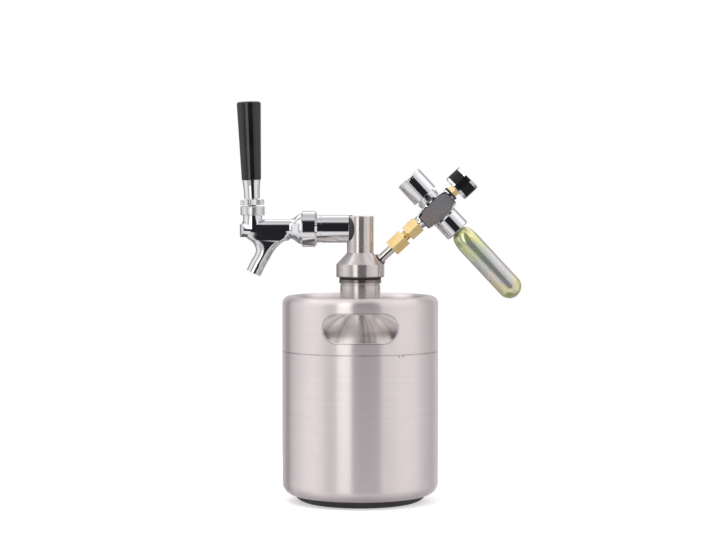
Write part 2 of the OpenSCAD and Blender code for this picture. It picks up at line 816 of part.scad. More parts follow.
module shank_tube() {
    r = shank_d / 2;
    color(CHROME) tapward() difference() {
        turned([
            [0, -6], [stub_d / 2, -6], [stub_d / 2, shank_start], [r - 0.4, shank_start], [r, shank_start + 0.4],
            [r, shank_end - 0.8], [r - 0.8, shank_end], [shank_neck_d / 2, shank_end],
            [shank_neck_d / 2, flange_start], [nut_bore_r - 0.5, flange_start],
            [nut_bore_r - 0.5, flange_end], [0, flange_end]
        ]);
        bar(shank_bore_d / 2, -3, flange_end);
        bar(pass_r, flange_end - 6, flange_end + 1);
        rotate([0, -90, 0]) bar(beer_bore_d / 2, 0, stub_d);
    }
}

module coupling_nut() {
    r = nut_d / 2;
    tail_r = nut_tail_d / 2;
    color(CHROME) tapward() difference() {
        turned([
            [shank_neck_d / 2 + run_gap, shank_end], [tail_r - 0.5, shank_end], [tail_r, shank_end + 0.5],
            [tail_r, nut_start], [r - 2.6, nut_start], [r, nut_start + 2.2],
            [r, nut_front - 1], [r - 1, nut_front], [nut_bore_r, nut_front],
            [nut_bore_r, nut_floor], [shank_neck_d / 2 + run_gap, nut_floor]
        ]);
        for (i = [0:spanner_holes - 1]) rotate([0, 0, 90 + 360 * i / spanner_holes])
            translate([0, 0, nut_start + 0.4 * nut_len]) rotate([0, 90, 0])
                bar(spanner_hole_d / 2, -r - 1, -r + 2.4);
    }
}

module coupling_washer() {
    color(RUBBER) tapward() ring(nut_bore_r - 1.4, pass_r, flange_end, tap_back);
}

// ---- Tap ----

// Front and back edges of the spout from the barrel down, as [behind the lever's axis, above the tap's axis]
SPOUT_FRONT = [[-11, 0], [-6.8, -8.7], [-1.2, -12.8], [2.1, -17.4], [3.3, -22.5], [1.2, -27.7]];
SPOUT_BACK = [[43.8, 0], [38.9, -10.8], [32.1, -12.9], [25.8, -18.1], [21.1, -24.2], [16.8, -31.7]];
SPOUT_STEPS = 16;
SPOUT_SIDES = 28;
spout_r = spout_d / 2;
spout_up = [sin(spout_tilt), cos(spout_tilt)];
spout_across = [-cos(spout_tilt), sin(spout_tilt)];

// A point beside the spout's axis, at a height above the tip, in the frame of the two edges
function beside_spout(up, across) =
    [tip_back, -tip_drop] + up * spout_up + across * spout_across;

function spout_rings() =
    let (
        r = spout_r + 0.05,
        front = concat(SPOUT_FRONT, [beside_spout(11, r), beside_spout(6, r)]),
        back = concat(SPOUT_BACK, [beside_spout(11, -r), beside_spout(6, -r)]),
        last = len(front) - 1
    )
    [for (k = [0:SPOUT_STEPS])
        let (
            u = last * k / SPOUT_STEPS, f = curve(front, u), b = curve(back, u),
            w = barrel_r - 0.05 - (barrel_r - 0.05 - r) * min(1, u / (last - 1)),
            across = norm(f - b) / 2, flat = max(0, across - w), end = min(across, w)
        )
        [for (i = [0:SPOUT_SIDES - 1])
            let (
                a = 360 * (i + 0.5) / SPOUT_SIDES,
                m = (f + b) / 2 + (f - b) / (2 * across) * (flat * sign(cos(a)) + end * cos(a))
            )
            [pivot_x + m[0], w * sin(a), tap_z + m[1]]]];

module tap_outside() {
    // male thread, flare and barrel, turned about the tap's axis
    tapward() turned(concat(
        [[0, tap_back], [nut_bore_r - run_gap - 0.6, tap_back], [nut_bore_r - run_gap, tap_back + 0.6],
            [nut_bore_r - run_gap, flare_start]],
        [for (i = [0:10]) let (s = i / 10)
            [barrel_r + (flare_d / 2 - barrel_r) * (1 + cos(180 * s)) / 2, flare_start + flare_len * s]],
        [[barrel_r, pivot_d], [0, pivot_d]]
    ));
    // nose: a flared foot of the tower, rounded across by a lying cylinder
    intersection() {
        translate([pivot_x, 0, tap_z]) turned(concat(
            [[0, -nose_bottom], [nose_reach - 0.5, -nose_bottom], [nose_reach, -nose_bottom + 0.5],
                [nose_reach, nose_top]],
            [for (i = [0:CHORDS]) let (a = 90 * i / CHORDS)
                [tower_r + (nose_reach - tower_r) * (1 - sin(a)), nose_top + 5.3 * (1 - cos(a)) + eps]],
            [[0, nose_top + 5.4]]
        ));
        tapward() bar(barrel_r + 0.02, pivot_d - nose_reach - 1, nose_d + 1);
    }
    // tower, and the thread that the bonnet screws on
    translate([pivot_x, 0, 0]) {
        bar(tower_r, tap_z, tower_z);
        bar(tower_thread_r, tap_z, tower_thread_top);
    }
    skin(spout_rings());
    on_spout() bar(spout_r, 0, 9);
}

// Room for the swing of the lever's tail, below the ball's seat
module tail_room() {
    swing = lever_arm * sin(lever_pull + lever_lean) + tail_d / 2 + 1.6;
    translate([pivot_x, tail_d / 2 + 0.6, pivot_z]) rotate([90, 0, 0])
        linear_extrude(tail_d + 1.2) polygon([
            [-tail_d / 2 - 0.9, tower_floor - pivot_z + 0.1], [7.2, tower_floor - pivot_z + 0.1],
            [swing, -lever_arm + 1], [swing, -lever_arm - 3.5], [-tail_d / 2 - 0.9, -lever_arm - 3.5]
        ]);
}

module faucet_body() {
    mouth = [pivot_x, tap_z] + beside_spout(spout_bore_len - 1, 0);
    color(CHROME) difference() {
        tap_outside();
        tapward() {
            bar(socket_d / 2, tap_back - 1, seat_face);
            bar(seat_d / 2, seat_face - 1, chamber_start + 1);
            bar(chamber_d / 2, chamber_start, guide_start);
            bar(guide_d / 2, guide_start - 1, guide_end);
        }
        translate([pivot_x, 0, 0]) bar(tower_bore_r, tower_floor, tower_thread_top + 1);
        tail_room();
        translate([pivot_x, 0, pivot_z]) sphere(r = socket_r);
        on_spout() bar(spout_bore_d / 2, -1, spout_bore_len);
        drill(mouth, [-guide_start + 6, tap_z - 4], 4.5);
    }
}

module faucet_bonnet() {
    r = bonnet_ring_d / 2;
    top = pivot_z + bonnet_top;
    reach = tan(lever_pull + lever_lean) * bonnet_top + rod_d / 2 / cos(lever_pull + lever_lean) + 0.3;
    rear = rod_d / 2 + 0.6;
    color(CHROME) translate([pivot_x, 0, 0]) difference() {
        turned([
            [tower_thread_r + fit_gap, tower_z], [r - 0.6, tower_z], [r, tower_z + 0.6],
            [r, top - bonnet_edge], [r - bonnet_edge, top],
            [0, top], [0, tower_thread_top + 0.2], [tower_thread_r + fit_gap, tower_thread_top + 0.2]
        ]);
        translate([0, 0, pivot_z]) sphere(r = socket_r);
        translate([-reach, -rod_d / 2 - 0.2, pivot_z])
            cube([reach + rear, rod_d + 0.4, bonnet_top + 1]);
    }
}

module friction_washer() {
    color(NYLON) translate([pivot_x, 0, 0]) difference() {
        ring(tower_bore_r - fit_gap, tower_bore_r - 1.8, tower_floor, pivot_z - 1);
        translate([0, 0, pivot_z]) sphere(r = socket_r);
    }
}

// ---- Valve shaft ----

plunger_back = guide_start + 6;
plunger_front = guide_end - 2.5;
plunger_r = guide_d / 2 - run_gap;
plunger_oring_at = plunger_back + 2.5;
plunger_oring_t = 1.8;
shaft_back = seat_face - washer_t - retainer_t;

module plunger_shaft() {
    groove_r = guide_d / 2 - 0.02 - plunger_oring_t;
    o = plunger_oring_t * 0.6;
    color(STEEL) difference() {
        tapward() turned([
            [0, shaft_back], [shaft_d / 2, shaft_back], [shaft_d / 2, plunger_back],
            [plunger_r, plunger_back], [plunger_r, plunger_oring_at - o], [groove_r, plunger_oring_at - o],
            [groove_r, plunger_oring_at + o], [plunger_r, plunger_oring_at + o],
            [plunger_r, plunger_front - 0.6], [plunger_r - 0.6, plunger_front], [0, plunger_front]
        ]);
        // slot for the lever's tip, wider at the front where the tail leans
        translate([-slot_d, slot_w / 2, tap_z]) rotate([90, 0, 0]) linear_extrude(slot_w) polygon([
            [-slot_w / 2, -guide_d], [slot_w / 2, -guide_d], [slot_w / 2, guide_d],
            [-slot_w / 2 - 3.4, guide_d], [-slot_w / 2 - 2.4, plunger_r], [-slot_w / 2, 0]
        ]);
    }
}

module plunger_oring() {
    color(RUBBER) tapward() o_ring(guide_d / 2 - 0.02 - plunger_oring_t / 2, plunger_oring_t, plunger_oring_at);
}

module seat_washer() {
    color(RUBBER) tapward() ring(washer_d / 2, shaft_d / 2 + fit_gap, seat_face - washer_t, seat_face);
}

module washer_retainer() {
    color(BRASS) tapward() difference() {
        hex_bar(8, shaft_back, seat_face - washer_t, 0.4);
        bar(shaft_d / 2 + fit_gap, shaft_back - 1, seat_face);
    }
}

// ---- Lever and handle ----

stud_r = stud_d / 2;
stud_end = ferrule_top + stud_in_grip;
hub_r = 6;
hub_top = ferrule_low + 1.6;

module lever() {
    color(STEEL) on_lever() {
        sphere(r = ball_r);
        bar(rod_d / 2, 0, collar_top);
        bar(stud_r, hub_top, stud_end);
        bar(rod_d / 2, collar_top - 1, hub_top + 1);
        bar(tail_d / 2 - 0.2, -lever_arm, 0);
        translate([0, 0, -lever_arm]) sphere(r = tip_d / 2);
    }
}

// The collar is hollow underneath, so that its edge swings past the bonnet
module lever_collar() {
    r = collar_d / 2;
    color(CHROME) on_lever() difference() {
        union() {
            intersection() {
                translate([0, 0, collar_low]) linear_extrude(collar_ring_h)
                    polygon(toothed(r, knurls, knurl_depth));
                chamfered(r + eps, collar_low, collar_top, 0.4, 0.5);
            }
            bar(hub_r, collar_top - 0.5, hub_top);
        }
        sphere(r = sweep_r);
        bar(rod_d / 2 + fit_gap, collar_low - 1, hub_top + 1);
    }
}

module handle_ferrule() {
    r0 = ferrule_low_d / 2;
    r1 = ferrule_top_d / 2;
    color(CHROME) on_lever() turned([
        [hub_r + fit_gap, ferrule_low], [r0 - 0.4, ferrule_low], [r0, ferrule_low + 0.4],
        [r0 + 0.1 * (r1 - r0), ferrule_low + 0.35 * ferrule_len],
        [r0 + 0.45 * (r1 - r0), ferrule_low + 0.7 * ferrule_len],
        [r1, ferrule_top - 0.6], [r1 - 0.4, ferrule_top], [stud_r + fit_gap, ferrule_top],
        [stud_r + fit_gap, hub_top], [hub_r + fit_gap, hub_top]
    ]);
}

GRIP_SIDES = 36;
GRIP_STEPS = 7;
GRIP_SQUARENESS = 0.94; // 1 is an ellipse, smaller is squarer

// A rounded square of half-sizes a and b at height z
function grip_ring(a, b, z) =
    [for (i = [0:GRIP_SIDES - 1])
        let (t = 360 * i / GRIP_SIDES, c = cos(t), s = sin(t))
        [a * sign(c) * pow(abs(c), GRIP_SQUARENESS), b * sign(s) * pow(abs(s), GRIP_SQUARENESS), z]];

module handle_grip() {
    straight = grip_len - grip_edge_r;
    color([0.05, 0.05, 0.06]) on_lever() difference() {
        skin(concat(
            [for (k = [0:GRIP_STEPS]) let (s = k / GRIP_STEPS)
                grip_ring(
                    (grip_low_x + (grip_top_x - grip_low_x) * s) / 2,
                    (grip_low_y + (grip_top_y - grip_low_y) * s) / 2,
                    ferrule_top + straight * s
                )],
            [for (k = [1:4]) let (a = 90 * k / 4, cut = grip_edge_r * (1 - cos(a)))
                grip_ring(grip_top_x / 2 - cut, grip_top_y / 2 - cut, ferrule_top + straight + grip_edge_r * sin(a))]
        ));
        bar(stud_r + fit_gap, ferrule_top - 1, stud_end + 1.5);
    }
}

// ---- Gas stem and fittings ----

module stem_gasket() {
    color(RUBBER) on_gas() ring(stem_gasket_d / 2, stem_d / 2 + fit_gap, -spot_face, flange_t0);
}

module gas_stem() {
    r = stem_d / 2;
    color(STEEL) on_gas() difference() {
        turned([
            [0, -stem_root + 0.2], [r, -stem_root + 0.2], [r, flange_t0], [stem_flange_d / 2, flange_t0],
            [stem_flange_d / 2, flange_t1 - 0.4], [stem_flange_d / 2 - 0.4, flange_t1], [r, flange_t1],
            [r, stem_head_t], [gas_thread_r - 0.1, stem_head_t],
            [gas_thread_r - 0.1, stem_end], [0, stem_end]
        ]);
        bar(stem_bore_d / 2, -stem_root, stem_end + 1);
    }
}

module swivel_nut() {
    floor_t = swivel_t0 + swivel_floor;
    color(BRASS) on_gas() difference() {
        hex_bar(swivel_af, swivel_t0, swivel_t1);
        bar(stem_d / 2 + run_gap, swivel_t0 - 1, floor_t + 1);
        bar(gas_thread_r + run_gap, floor_t, swivel_t1 + 1);
    }
}

module flare_washer() {
    color(NYLON) on_gas() ring(gas_thread_r - 0.2, stem_bore_d / 2, stem_end, stem_end + flare_t);
}

module hex_adapter() {
    color(BRASS) on_gas() difference() {
        union() {
            bar(gas_thread_r, stem_end + flare_t, fitting_t0 + 1);
            hex_bar(fitting_af, fitting_t0, fitting_t1);
            bar(gas_thread_r - 0.3, fitting_t1 - 1, outlet_t1 + 4);
        }
        bar(stem_bore_d / 2, stem_end, outlet_t1 + 5);
    }
}

module outlet_collar() {
    r = outlet_d / 2;
    color(CHROME) on_gas() turned([
        [gas_thread_r - 0.3 + fit_gap, fitting_t1], [r - 1.2, fitting_t1], [r - 0.6, fitting_t1 + 0.5],
        [r, outlet_t1 - 0.6], [r, outlet_t1], [gas_thread_r + 1.2, outlet_t1],
        [gas_thread_r + 1.2, outlet_t1 + 4], [gas_thread_r - 0.3 + fit_gap, outlet_t1 + 4]
    ]);
}

// ---- Regulator ----

// The front plate's outline: a long rectangle with bowed long sides
module plate_2d(length, middle, ends, drop) {
    sag = (middle - ends) / 2;
    bow = (pow(length / 2, 2) + sag * sag) / (2 * sag);
    translate([-plate_shift, -drop]) intersection() {
        square([length, middle + 1], center = true);
        translate([0, middle / 2 - bow]) circle(r = bow, $fn = 200);
        translate([0, bow - middle / 2]) circle(r = bow, $fn = 200);
    }
}

// Raises a 2D outline of the X-Z plane along Y, from y0 to y1
module through_y(y0, y1) translate([0, y1, 0]) rotate([90, 0, 0]) linear_extrude(y1 - y0) children();

module regulator_body() {
    half = body_depth / 2;
    socket_t = reg_t;
    color(CHROME) on_regulator() difference() {
        union() {
            through_y(-half, half) plate_2d(block_len, block_h, block_end_h, block_drop);
            intersection() {
                union() {
                    bar(ring_d / 2 - 0.6, 0, ring_start);
                    rotate([0, 180, 0]) bar(sleeve_low_d / 2, 0, sleeve_start);
                }
                translate([0, 0, -2]) cube([60, body_depth, 60], center = true);
            }
            rotate([0, 90, 0]) bar(boss_d / 2, block_x1 - 1, block_x1 + 0.95);
        }
        // recess of the front plate
        through_y(-half - 1, -half + plate_t - 0.2) plate_2d(plate_len + 0.1, plate_h + 0.1, plate_end_h + 0.1, plate_drop);
        // low-pressure chamber, valve seat and valve chamber
        bar(spring_bore_r, chamber_z, ring_start + 1);
        rotate([0, 180, 0]) bar(valve_seat_d / 2, -chamber_z - 1, -valve_seat_z + 1);
        rotate([0, 180, 0]) bar(valve_bore_d / 2, -valve_seat_z, sleeve_start + 1);
        // outlet and gauge sockets, each with its way up into the chamber
        rotate([0, 90, 0]) {
            bar(gas_thread_r + 1.2 + fit_gap, block_x0 - 1, block_x0 + 4.2);
            bar(1.8, block_x0, -6);
            bar(gauge_thread_d / 2 + fit_gap, block_x1 + 0.95 - gauge_socket - 0.2, block_x1 + 2);
            bar(1.5, 6, block_x1);
        }
        for (x = [-6, 6]) translate([x, 0, 0]) bar(1.4, 0, chamber_z + 1);
    }
}

module front_plate() {
    half = body_depth / 2;
    color([0.38, 0.37, 0.39]) on_regulator()
        through_y(-half - 0.2, -half + plate_t - 0.2) plate_2d(plate_len, plate_h, plate_end_h, plate_drop);
}

module regulator_bonnet() {
    r = ring_d / 2;
    mid = (ring_start + ring_top) / 2;
    color(CHROME) on_regulator() turned([
        [spring_bore_r, ring_start], [r - 0.4, ring_start], [r, ring_start + 0.4],
        [r, mid - 0.5], [r - 0.5, mid - 0.2], [r - 0.5, mid + 0.2], [r, mid + 0.5],
        [r, ring_top - 0.4], [r - 0.4, ring_top], [thread_r, ring_top],
        [thread_r, bonnet_end], [spring_bore_r, bonnet_end]
    ]);
}

// Hollow knob: it screws over the bonnet's thread, and its boss presses the spring seat
module knob() {
    r = knob_d / 2;
    g = knob_top - knob_groove_at;
    color(CHROME) on_regulator() turned([
        [thread_r + run_gap, knob_low], [r - 0.5, knob_low], [r, knob_low + 0.5],
        [r, g - 0.5], [r - 0.5, g - 0.1], [r - 0.5, g + 0.1], [r, g + 0.5],
        [r, knob_top - 0.9], [r - 0.9, knob_top], [r - 4, knob_top], [r - 4, knob_top - 0.8],
        [0, knob_top - 0.8], [0, spring_seat_top], [4, spring_seat_top],
        [4, knob_ceiling], [thread_r + run_gap, knob_ceiling]
    ]);
}

module knob_cap() {
    color(CHROME) on_regulator() chamfered(knob_d / 2 - 4 - fit_gap, knob_top - 0.8, knob_top, 0, 0.3);
}

module spring_seat() {
    r = spring_bore_r - 0.6;
    color(STEEL) on_regulator() turned([
        [0, spring_seat_low - 1.5], [3.6, spring_seat_low - 1.5], [4, spring_seat_low - 1.1],
        [4, spring_seat_low], [r, spring_seat_low], [r, spring_seat_top - 0.4], [r - 0.4, spring_seat_top],
        [0, spring_seat_top]
    ]);
}

module pressure_spring() {
    low = piston_top + 1.5 * knob_pitch + 0.2;
    color(STEEL) on_regulator() translate([0, 0, low])
        coil(spring_bore_r - 1.2 - spring_wire_d / 2, spring_wire_d, spring_seat_low - low, spring_coils);
}

module piston() {
    r = spring_bore_r - run_gap;
    groove_r = spring_bore_r - 0.02 - 1.6;
    mid = (piston_low + piston_top) / 2;
    color(BRASS) on_regulator() turned([
        [0, piston_low], [r, piston_low], [r, mid - 0.95], [groove_r, mid - 0.95],
        [groove_r, mid + 0.95], [r, mid + 0.95], [r, piston_top], [0, piston_top]
    ]);
}

module piston_oring() {
    color(RUBBER) on_regulator() o_ring(spring_bore_r - 0.02 - 0.8, 1.6, (piston_low + piston_top) / 2);
}

// Valve cone below the seat, with the pin that the piston pushes
module poppet() {
    r = valve_bore_d / 2 - 0.4;
    color(BRASS) on_regulator() turned([
        [0, valve_seat_z - 6], [1.6, valve_seat_z - 6], [1.6, valve_seat_z - 3.6], [r, valve_seat_z - 3.6],
        [r, valve_seat_z - 2.2], [valve_seat_d / 2, valve_seat_z - 0.1], [0.8, valve_seat_z - 0.1],
        [0.8, piston_low], [0, piston_low]
    ]);
}

module poppet_spring() {
    low = -pin_floor;
    high = valve_seat_z - 3.6;
    color(STEEL) on_regulator() translate([0, 0, low])
        coil(1.6 + 0.15 + valve_wire_d / 2, valve_wire_d, high - low, 6, 6, 12);
}

module piercing_pin() {
    base_r = valve_bore_d / 2 + 1.4;
    top = pin_floor + pin_base_t;
    color(STEEL) on_sleeve() difference() {
        turned([
            [0, pin_floor], [base_r, pin_floor], [base_r, top], [pin_d / 2, top],
            [pin_d / 2, neck_end + 0.8], [0.7, neck_end + 2], [0, neck_end + 2]
        ]);
        bar(0.5, pin_floor - 1, neck_end + 3);
    }
}

module pin_seal() {
    color(RUBBER) on_sleeve() ring(cartridge_neck_d / 2 - 0.2, pin_d / 2 + fit_gap, neck_end - pin_seal_t, neck_end);
}

module cartridge_sleeve() {
    low_r = sleeve_low_d / 2;
    end_r = sleeve_end_d / 2;
    neck_r_in = cartridge_neck_d / 2 + run_gap;
    color(CHROME) on_sleeve() difference() {
        turned([
            [0, sleeve_start], [low_r - 0.4, sleeve_start], [low_r, sleeve_start + 0.4],
            [end_r, sleeve_reach - 1], [end_r - 1, sleeve_reach], [0, sleeve_reach]
        ]);
        bar(valve_bore_d / 2, sleeve_start - 1, pin_floor + 1);
        bar(valve_bore_d / 2 + 1.4 + fit_gap, pin_floor, neck_end - pin_seal_t + eps);
        bar(neck_r_in, neck_end - pin_seal_t, sleeve_reach + 1);
        translate([0, 0, sleeve_reach - 3]) cylinder(r1 = neck_r_in, r2 = neck_r_in + 3.6, h = 3.01);
    }
}

// Pressed steel bottle with an elliptical shoulder and a round end
module cartridge() {
    r = cartridge_d / 2;
    t = cartridge_wall;
    nr = cartridge_neck_d / 2;
    full = sleeve_reach + shoulder_len;
    end = sleeve_reach + cartridge_len;
    steps = 12;
    color(ZINC) on_sleeve() turned(concat(
        [[2.6, neck_end], [nr - 0.4, neck_end], [nr, neck_end + 0.4], [nr, sleeve_reach]],
        [for (i = [1:steps]) let (a = 90 * i / steps)
            [nr + (r - nr) * sin(a), full - shoulder_len * cos(a)]],
        arc(0, end - r, r, 0, 90),
        [for (i = [0:CHORDS]) let (a = 90 - 90 * i / CHORDS) [(r - t) * cos(a), end - r + (r - t) * sin(a)]],
        [for (i = [steps:-1:1]) let (a = 90 * i / steps)
            [nr - t + (r - nr) * sin(a), full - (shoulder_len - t) * cos(a)]],
        [[2.6, sleeve_reach]]
    ));
}

module cartridge_cap() {
    color(STEEL) on_sleeve() ring(2.6 - fit_gap, pin_d / 2 + 0.15, neck_end, neck_end + 0.7);
}

// ---- Gauge ----

module gauge_band() {
    color(RUBBER) on_gas() ring(band_d / 2, gauge_thread_d / 2 + 0.3, band_t0, hex_t0);
}

module gauge_stem() {
    color(BRASS) on_gas() difference() {
        union() {
            bar(gauge_thread_d / 2, band_t0 - gauge_socket, hex_t0 + 1);
            hex_bar(gauge_af, hex_t0, hex_t1, 0.5);
            bar(4, hex_t1 - 1, case_t0 + case_floor + 1.2);
        }
        bar(1, band_t0 - gauge_socket - 1, case_t0 + case_floor);
    }
}

module gauge_back() {
    color(CHROME) on_gas() difference() {
        chamfered(gauge_r, hex_t1, case_t0, 0.8, 0);
        bar(4 + fit_gap, hex_t1 - 1, case_t0 + 1);
    }
}

module gauge_case() {
    color(RUBBER) on_gas() difference() {
        bar(gauge_r - 0.15, case_t0, case_t1);
        bar(gauge_r - 0.15 - case_wall, case_t0 + case_floor, case_t1 + 1);
        bar(4 + fit_gap, case_t0 - 1, case_t0 + case_floor + 1);
    }
}

// Flat C-shaped spring tube that turns the needle
module bourdon_tube() {
    low = case_t0 + case_floor + 1.2;
    color(BRASS) on_gas() {
        difference() {
            union() {
                ring(8.8, 7.6, low, low + 3.2);
                translate([-8.2, -1.4, low + 0.4]) cube([6.4, 2.8, 1.6]);
                bar(3, low + 0.2, low + 2.4);
            }
            bar(spindle_r + 0.3, low - 1, low + 4);
            translate([1, -20, low - 1]) cube([20, 19, 6]);
        }
    }
}

module gauge_dial() {
    color([0.95, 0.95, 0.94]) on_gas()
        ring(gauge_r - 0.15 - case_wall - fit_gap, spindle_r + 0.4, dial_t1 - dial_t, dial_t1);
}

module gauge_needle() {
    low = case_t0 + case_floor + 1.4;
    color("black") on_gas() {
        bar(spindle_r, low, dial_t1 + 1.8);
        bar(1.5, dial_t1 + 0.8, dial_t1 + 1.6);
        translate([0, 0, dial_t1 + 0.9]) rotate([0, 0, -45]) linear_extrude(0.5)
            polygon([[-3.6, -0.6], [0, -0.7], [8.6, -0.15], [8.6, 0.15], [0, 0.7], [-3.6, 0.6]]);
    }
}

module gauge_lens() {
    color([0.8, 0.9, 0.95, 0.3]) on_gas() bar(gauge_r - 0.15 - case_wall - fit_gap, lens_t0, lens_t1);
}

module gauge_bezel() {
    r = gauge_r + 0.15;
    color(CHROME) on_gas() turned([
        [gauge_r - bezel_w, lens_t1], [gauge_r - bezel_w - 0.2, bezel_t1 - 0.3], [gauge_r - bezel_w + 0.2, bezel_t1],
        [r - 0.8, bezel_t1], [r, bezel_t1 - 0.8], [r, case_t1 - 1.2], [gauge_r - 0.15 + fit_gap, case_t1 - 1.2],
        [gauge_r - 0.15 + fit_gap, case_t1], [gauge_r - 0.15 - case_wall, case_t1], [gauge_r - 0.15 - case_wall, lens_t1]
    ]);
}

keg_body();
keg_dome();
keg_collar();
keg_neck();
base_ring();
neck_gasket();
spigot_oring();
head_body();
dip_tube();
dip_tube_seal();
shank_tube();
shank_seal();
coupling_nut();
coupling_washer();
faucet_body();
faucet_bonnet();
friction_washer();
plunger_shaft();
plunger_oring();
seat_washer();
washer_retainer();
lever();
lever_collar();
handle_ferrule();
handle_grip();
gas_stem();
stem_gasket();
swivel_nut();
flare_washer();
hex_adapter();
outlet_collar();
regulator_body();
front_plate();
regulator_bonnet();
knob();
knob_cap();
spring_seat();
pressure_spring();
piston();
piston_oring();
poppet();
poppet_spring();
piercing_pin();
pin_seal();
cartridge_sleeve();
cartridge();
cartridge_cap();
gauge_band();
gauge_stem();
gauge_back();
gauge_case();
bourdon_tube();
gauge_dial();
gauge_needle();
gauge_lens();
gauge_bezel();
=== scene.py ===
"""Looks for the mini keg beer dispenser: finishes, thread, dial, and a plain studio."""

import math

import bmesh
import bpy
from mathutils import Matrix, Vector


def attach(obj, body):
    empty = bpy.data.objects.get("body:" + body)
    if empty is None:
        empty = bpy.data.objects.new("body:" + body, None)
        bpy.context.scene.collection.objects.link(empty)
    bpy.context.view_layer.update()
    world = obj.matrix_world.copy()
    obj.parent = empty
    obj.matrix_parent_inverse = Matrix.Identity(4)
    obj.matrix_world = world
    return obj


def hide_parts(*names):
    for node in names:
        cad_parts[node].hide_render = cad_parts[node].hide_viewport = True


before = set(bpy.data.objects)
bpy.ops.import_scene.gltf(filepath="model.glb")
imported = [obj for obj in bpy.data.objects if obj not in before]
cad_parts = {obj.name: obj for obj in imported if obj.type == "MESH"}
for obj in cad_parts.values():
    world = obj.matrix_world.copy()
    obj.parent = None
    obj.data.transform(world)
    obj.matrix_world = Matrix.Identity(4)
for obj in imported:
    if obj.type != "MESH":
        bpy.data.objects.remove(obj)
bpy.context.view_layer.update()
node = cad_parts
scene = bpy.context.scene
MM = 0.001  # metres in a millimetre; places and sizes below are in millimetres


# ---- camera, at the photograph's place ----

CAMERA_EYE = Vector((-2.3, -2257, 319))
CAMERA_AIM = Vector((-2.3, 0, 237.9))
CAMERA_LENS = 110.6
SENSOR_WIDTH = 36


def set_camera():
    eye, aim = CAMERA_EYE * MM, CAMERA_AIM * MM
    lens = bpy.data.cameras.new("camera")
    lens.lens = CAMERA_LENS
    lens.sensor_width = SENSOR_WIDTH
    lens.clip_start = 0.05
    lens.clip_end = 60
    camera = bpy.data.objects.new("camera", lens)
    camera.location = eye
    camera.rotation_euler = (aim - eye).to_track_quat("-Z", "Y").to_euler()
    scene.collection.objects.link(camera)
    scene.camera = camera


# ---- small helpers for node trees ----

class Tree:
    """Adds nodes to one node tree.

    An input is given a plain value or another node's socket, and a colour without its alpha.
    It is named as in Blender, with _ for each space, or by its number, as in _0.
    """

    def __init__(self, tree):
        self.tree = tree

    def add(self, kind, settings=None, **inputs):
        made = self.tree.nodes.new(kind)
        for key, value in (settings or {}).items():
            setattr(made, key, value)
        for key, value in inputs.items():
            self.put(made, key, value)
        return made

    def put(self, made, key, value):
        by_number = key[0] == "_" and key[1:].isdigit()
        socket = made.inputs[int(key[1:]) if by_number else key.replace("_", " ")]
        if isinstance(value, bpy.types.NodeSocket):
            self.tree.links.new(value, socket)
        elif socket.type == "RGBA":
            socket.default_value = (*value, 1)
        else:
            socket.default_value = value

    def math(self, operation, a, b=0.0, c=0.0):
        made = self.add("ShaderNodeMath", {"operation": operation}, _0=a, _1=b, _2=c)
        return made.outputs[0]

    def times(self, a, b):
        return self.math("MULTIPLY", a, b)

    def blend(self, part, a, b):
        """The given part of value a, and the rest of value b."""
        return self.math("MULTIPLY_ADD", a, part, self.times(b, 1 - part))

    def fit(self, value, low, high, to_low=0.0, to_high=1.0, kind="SMOOTHSTEP"):
        """Moves a value between low and high to between to_low and to_high."""
        made = self.add(
            "ShaderNodeMapRange", {"interpolation_type": kind}, Value=value,
            From_Min=low, From_Max=high, To_Min=to_low, To_Max=to_high,
        )
        return made.outputs["Result"]

    def noise(self, vector, scale, detail, roughness=0.5, distortion=0.0):
        made = self.add(
            "ShaderNodeTexNoise", None, Vector=vector, Scale=scale, Detail=detail,
            Roughness=roughness, Distortion=distortion,
        )
        return made.outputs["Fac"]

    def mix(self, factor, a, b):
        """Colour a where the factor is 0, and colour b where it is 1."""
        made = self.add("ShaderNodeMix", {"data_type": "RGBA"}, _0=factor, _6=a, _7=b)
        return made.outputs[2]

    def tone(self, mask, strength, a, b):
        """Colour a, moved towards colour b by up to the given strength where the mask is 1."""
        return self.mix(self.times(mask, strength), a, b)

    def ramp(self, value, stops):
        """Colours along a value, given as (value, colour) pairs."""
        made = self.add("ShaderNodeValToRGB", None, Fac=value)
        band = made.color_ramp
        while len(band.elements) < len(stops):
            band.elements.new(0.5)
        for element, (place, colour) in zip(band.elements, stops):
            element.position = place
            element.color = (*colour, 1)
        return made.outputs["Color"]


def new_group(name, ins, outs):
    """A shader node group with named inputs (name, kind, default) and outputs (name, kind)."""
    group = bpy.data.node_groups.new(name, "ShaderNodeTree")
    for label, kind, value in ins:
        kind = "NodeSocket" + kind
        socket = group.interface.new_socket(label, in_out="INPUT", socket_type=kind)
        if value is not None:
            socket.default_value = value
    for label, kind in outs:
        group.interface.new_socket(label, in_out="OUTPUT", socket_type="NodeSocket" + kind)
    tree = Tree(group)
    return group, tree, tree.add("NodeGroupInput").outputs, tree.add("NodeGroupOutput")


# ---- shared effects ----

def brushing_group():
    """Fine parallel scratches. The vector is stretched by the material's own Mapping node."""
    group, tree, given, out = new_group(
        "brushing",
        [("Vector", "Vector", None), ("Depth", "Float", 0.5)],
        [("Streak", "Float"), ("Height", "Float")],
    )
    fine = tree.noise(given["Vector"], scale=1.0, detail=4.0, roughness=0.7)
    wide = tree.noise(given["Vector"], scale=0.11, detail=3.0, roughness=0.6)
    # the middle of the noise, spread over 0 to 1
    streak = tree.fit(tree.blend(0.45, wide, fine), 0.36, 0.64)
    tree.put(out, "Streak", streak)
    tree.put(out, "Height", tree.times(streak, given["Depth"]))
    return group


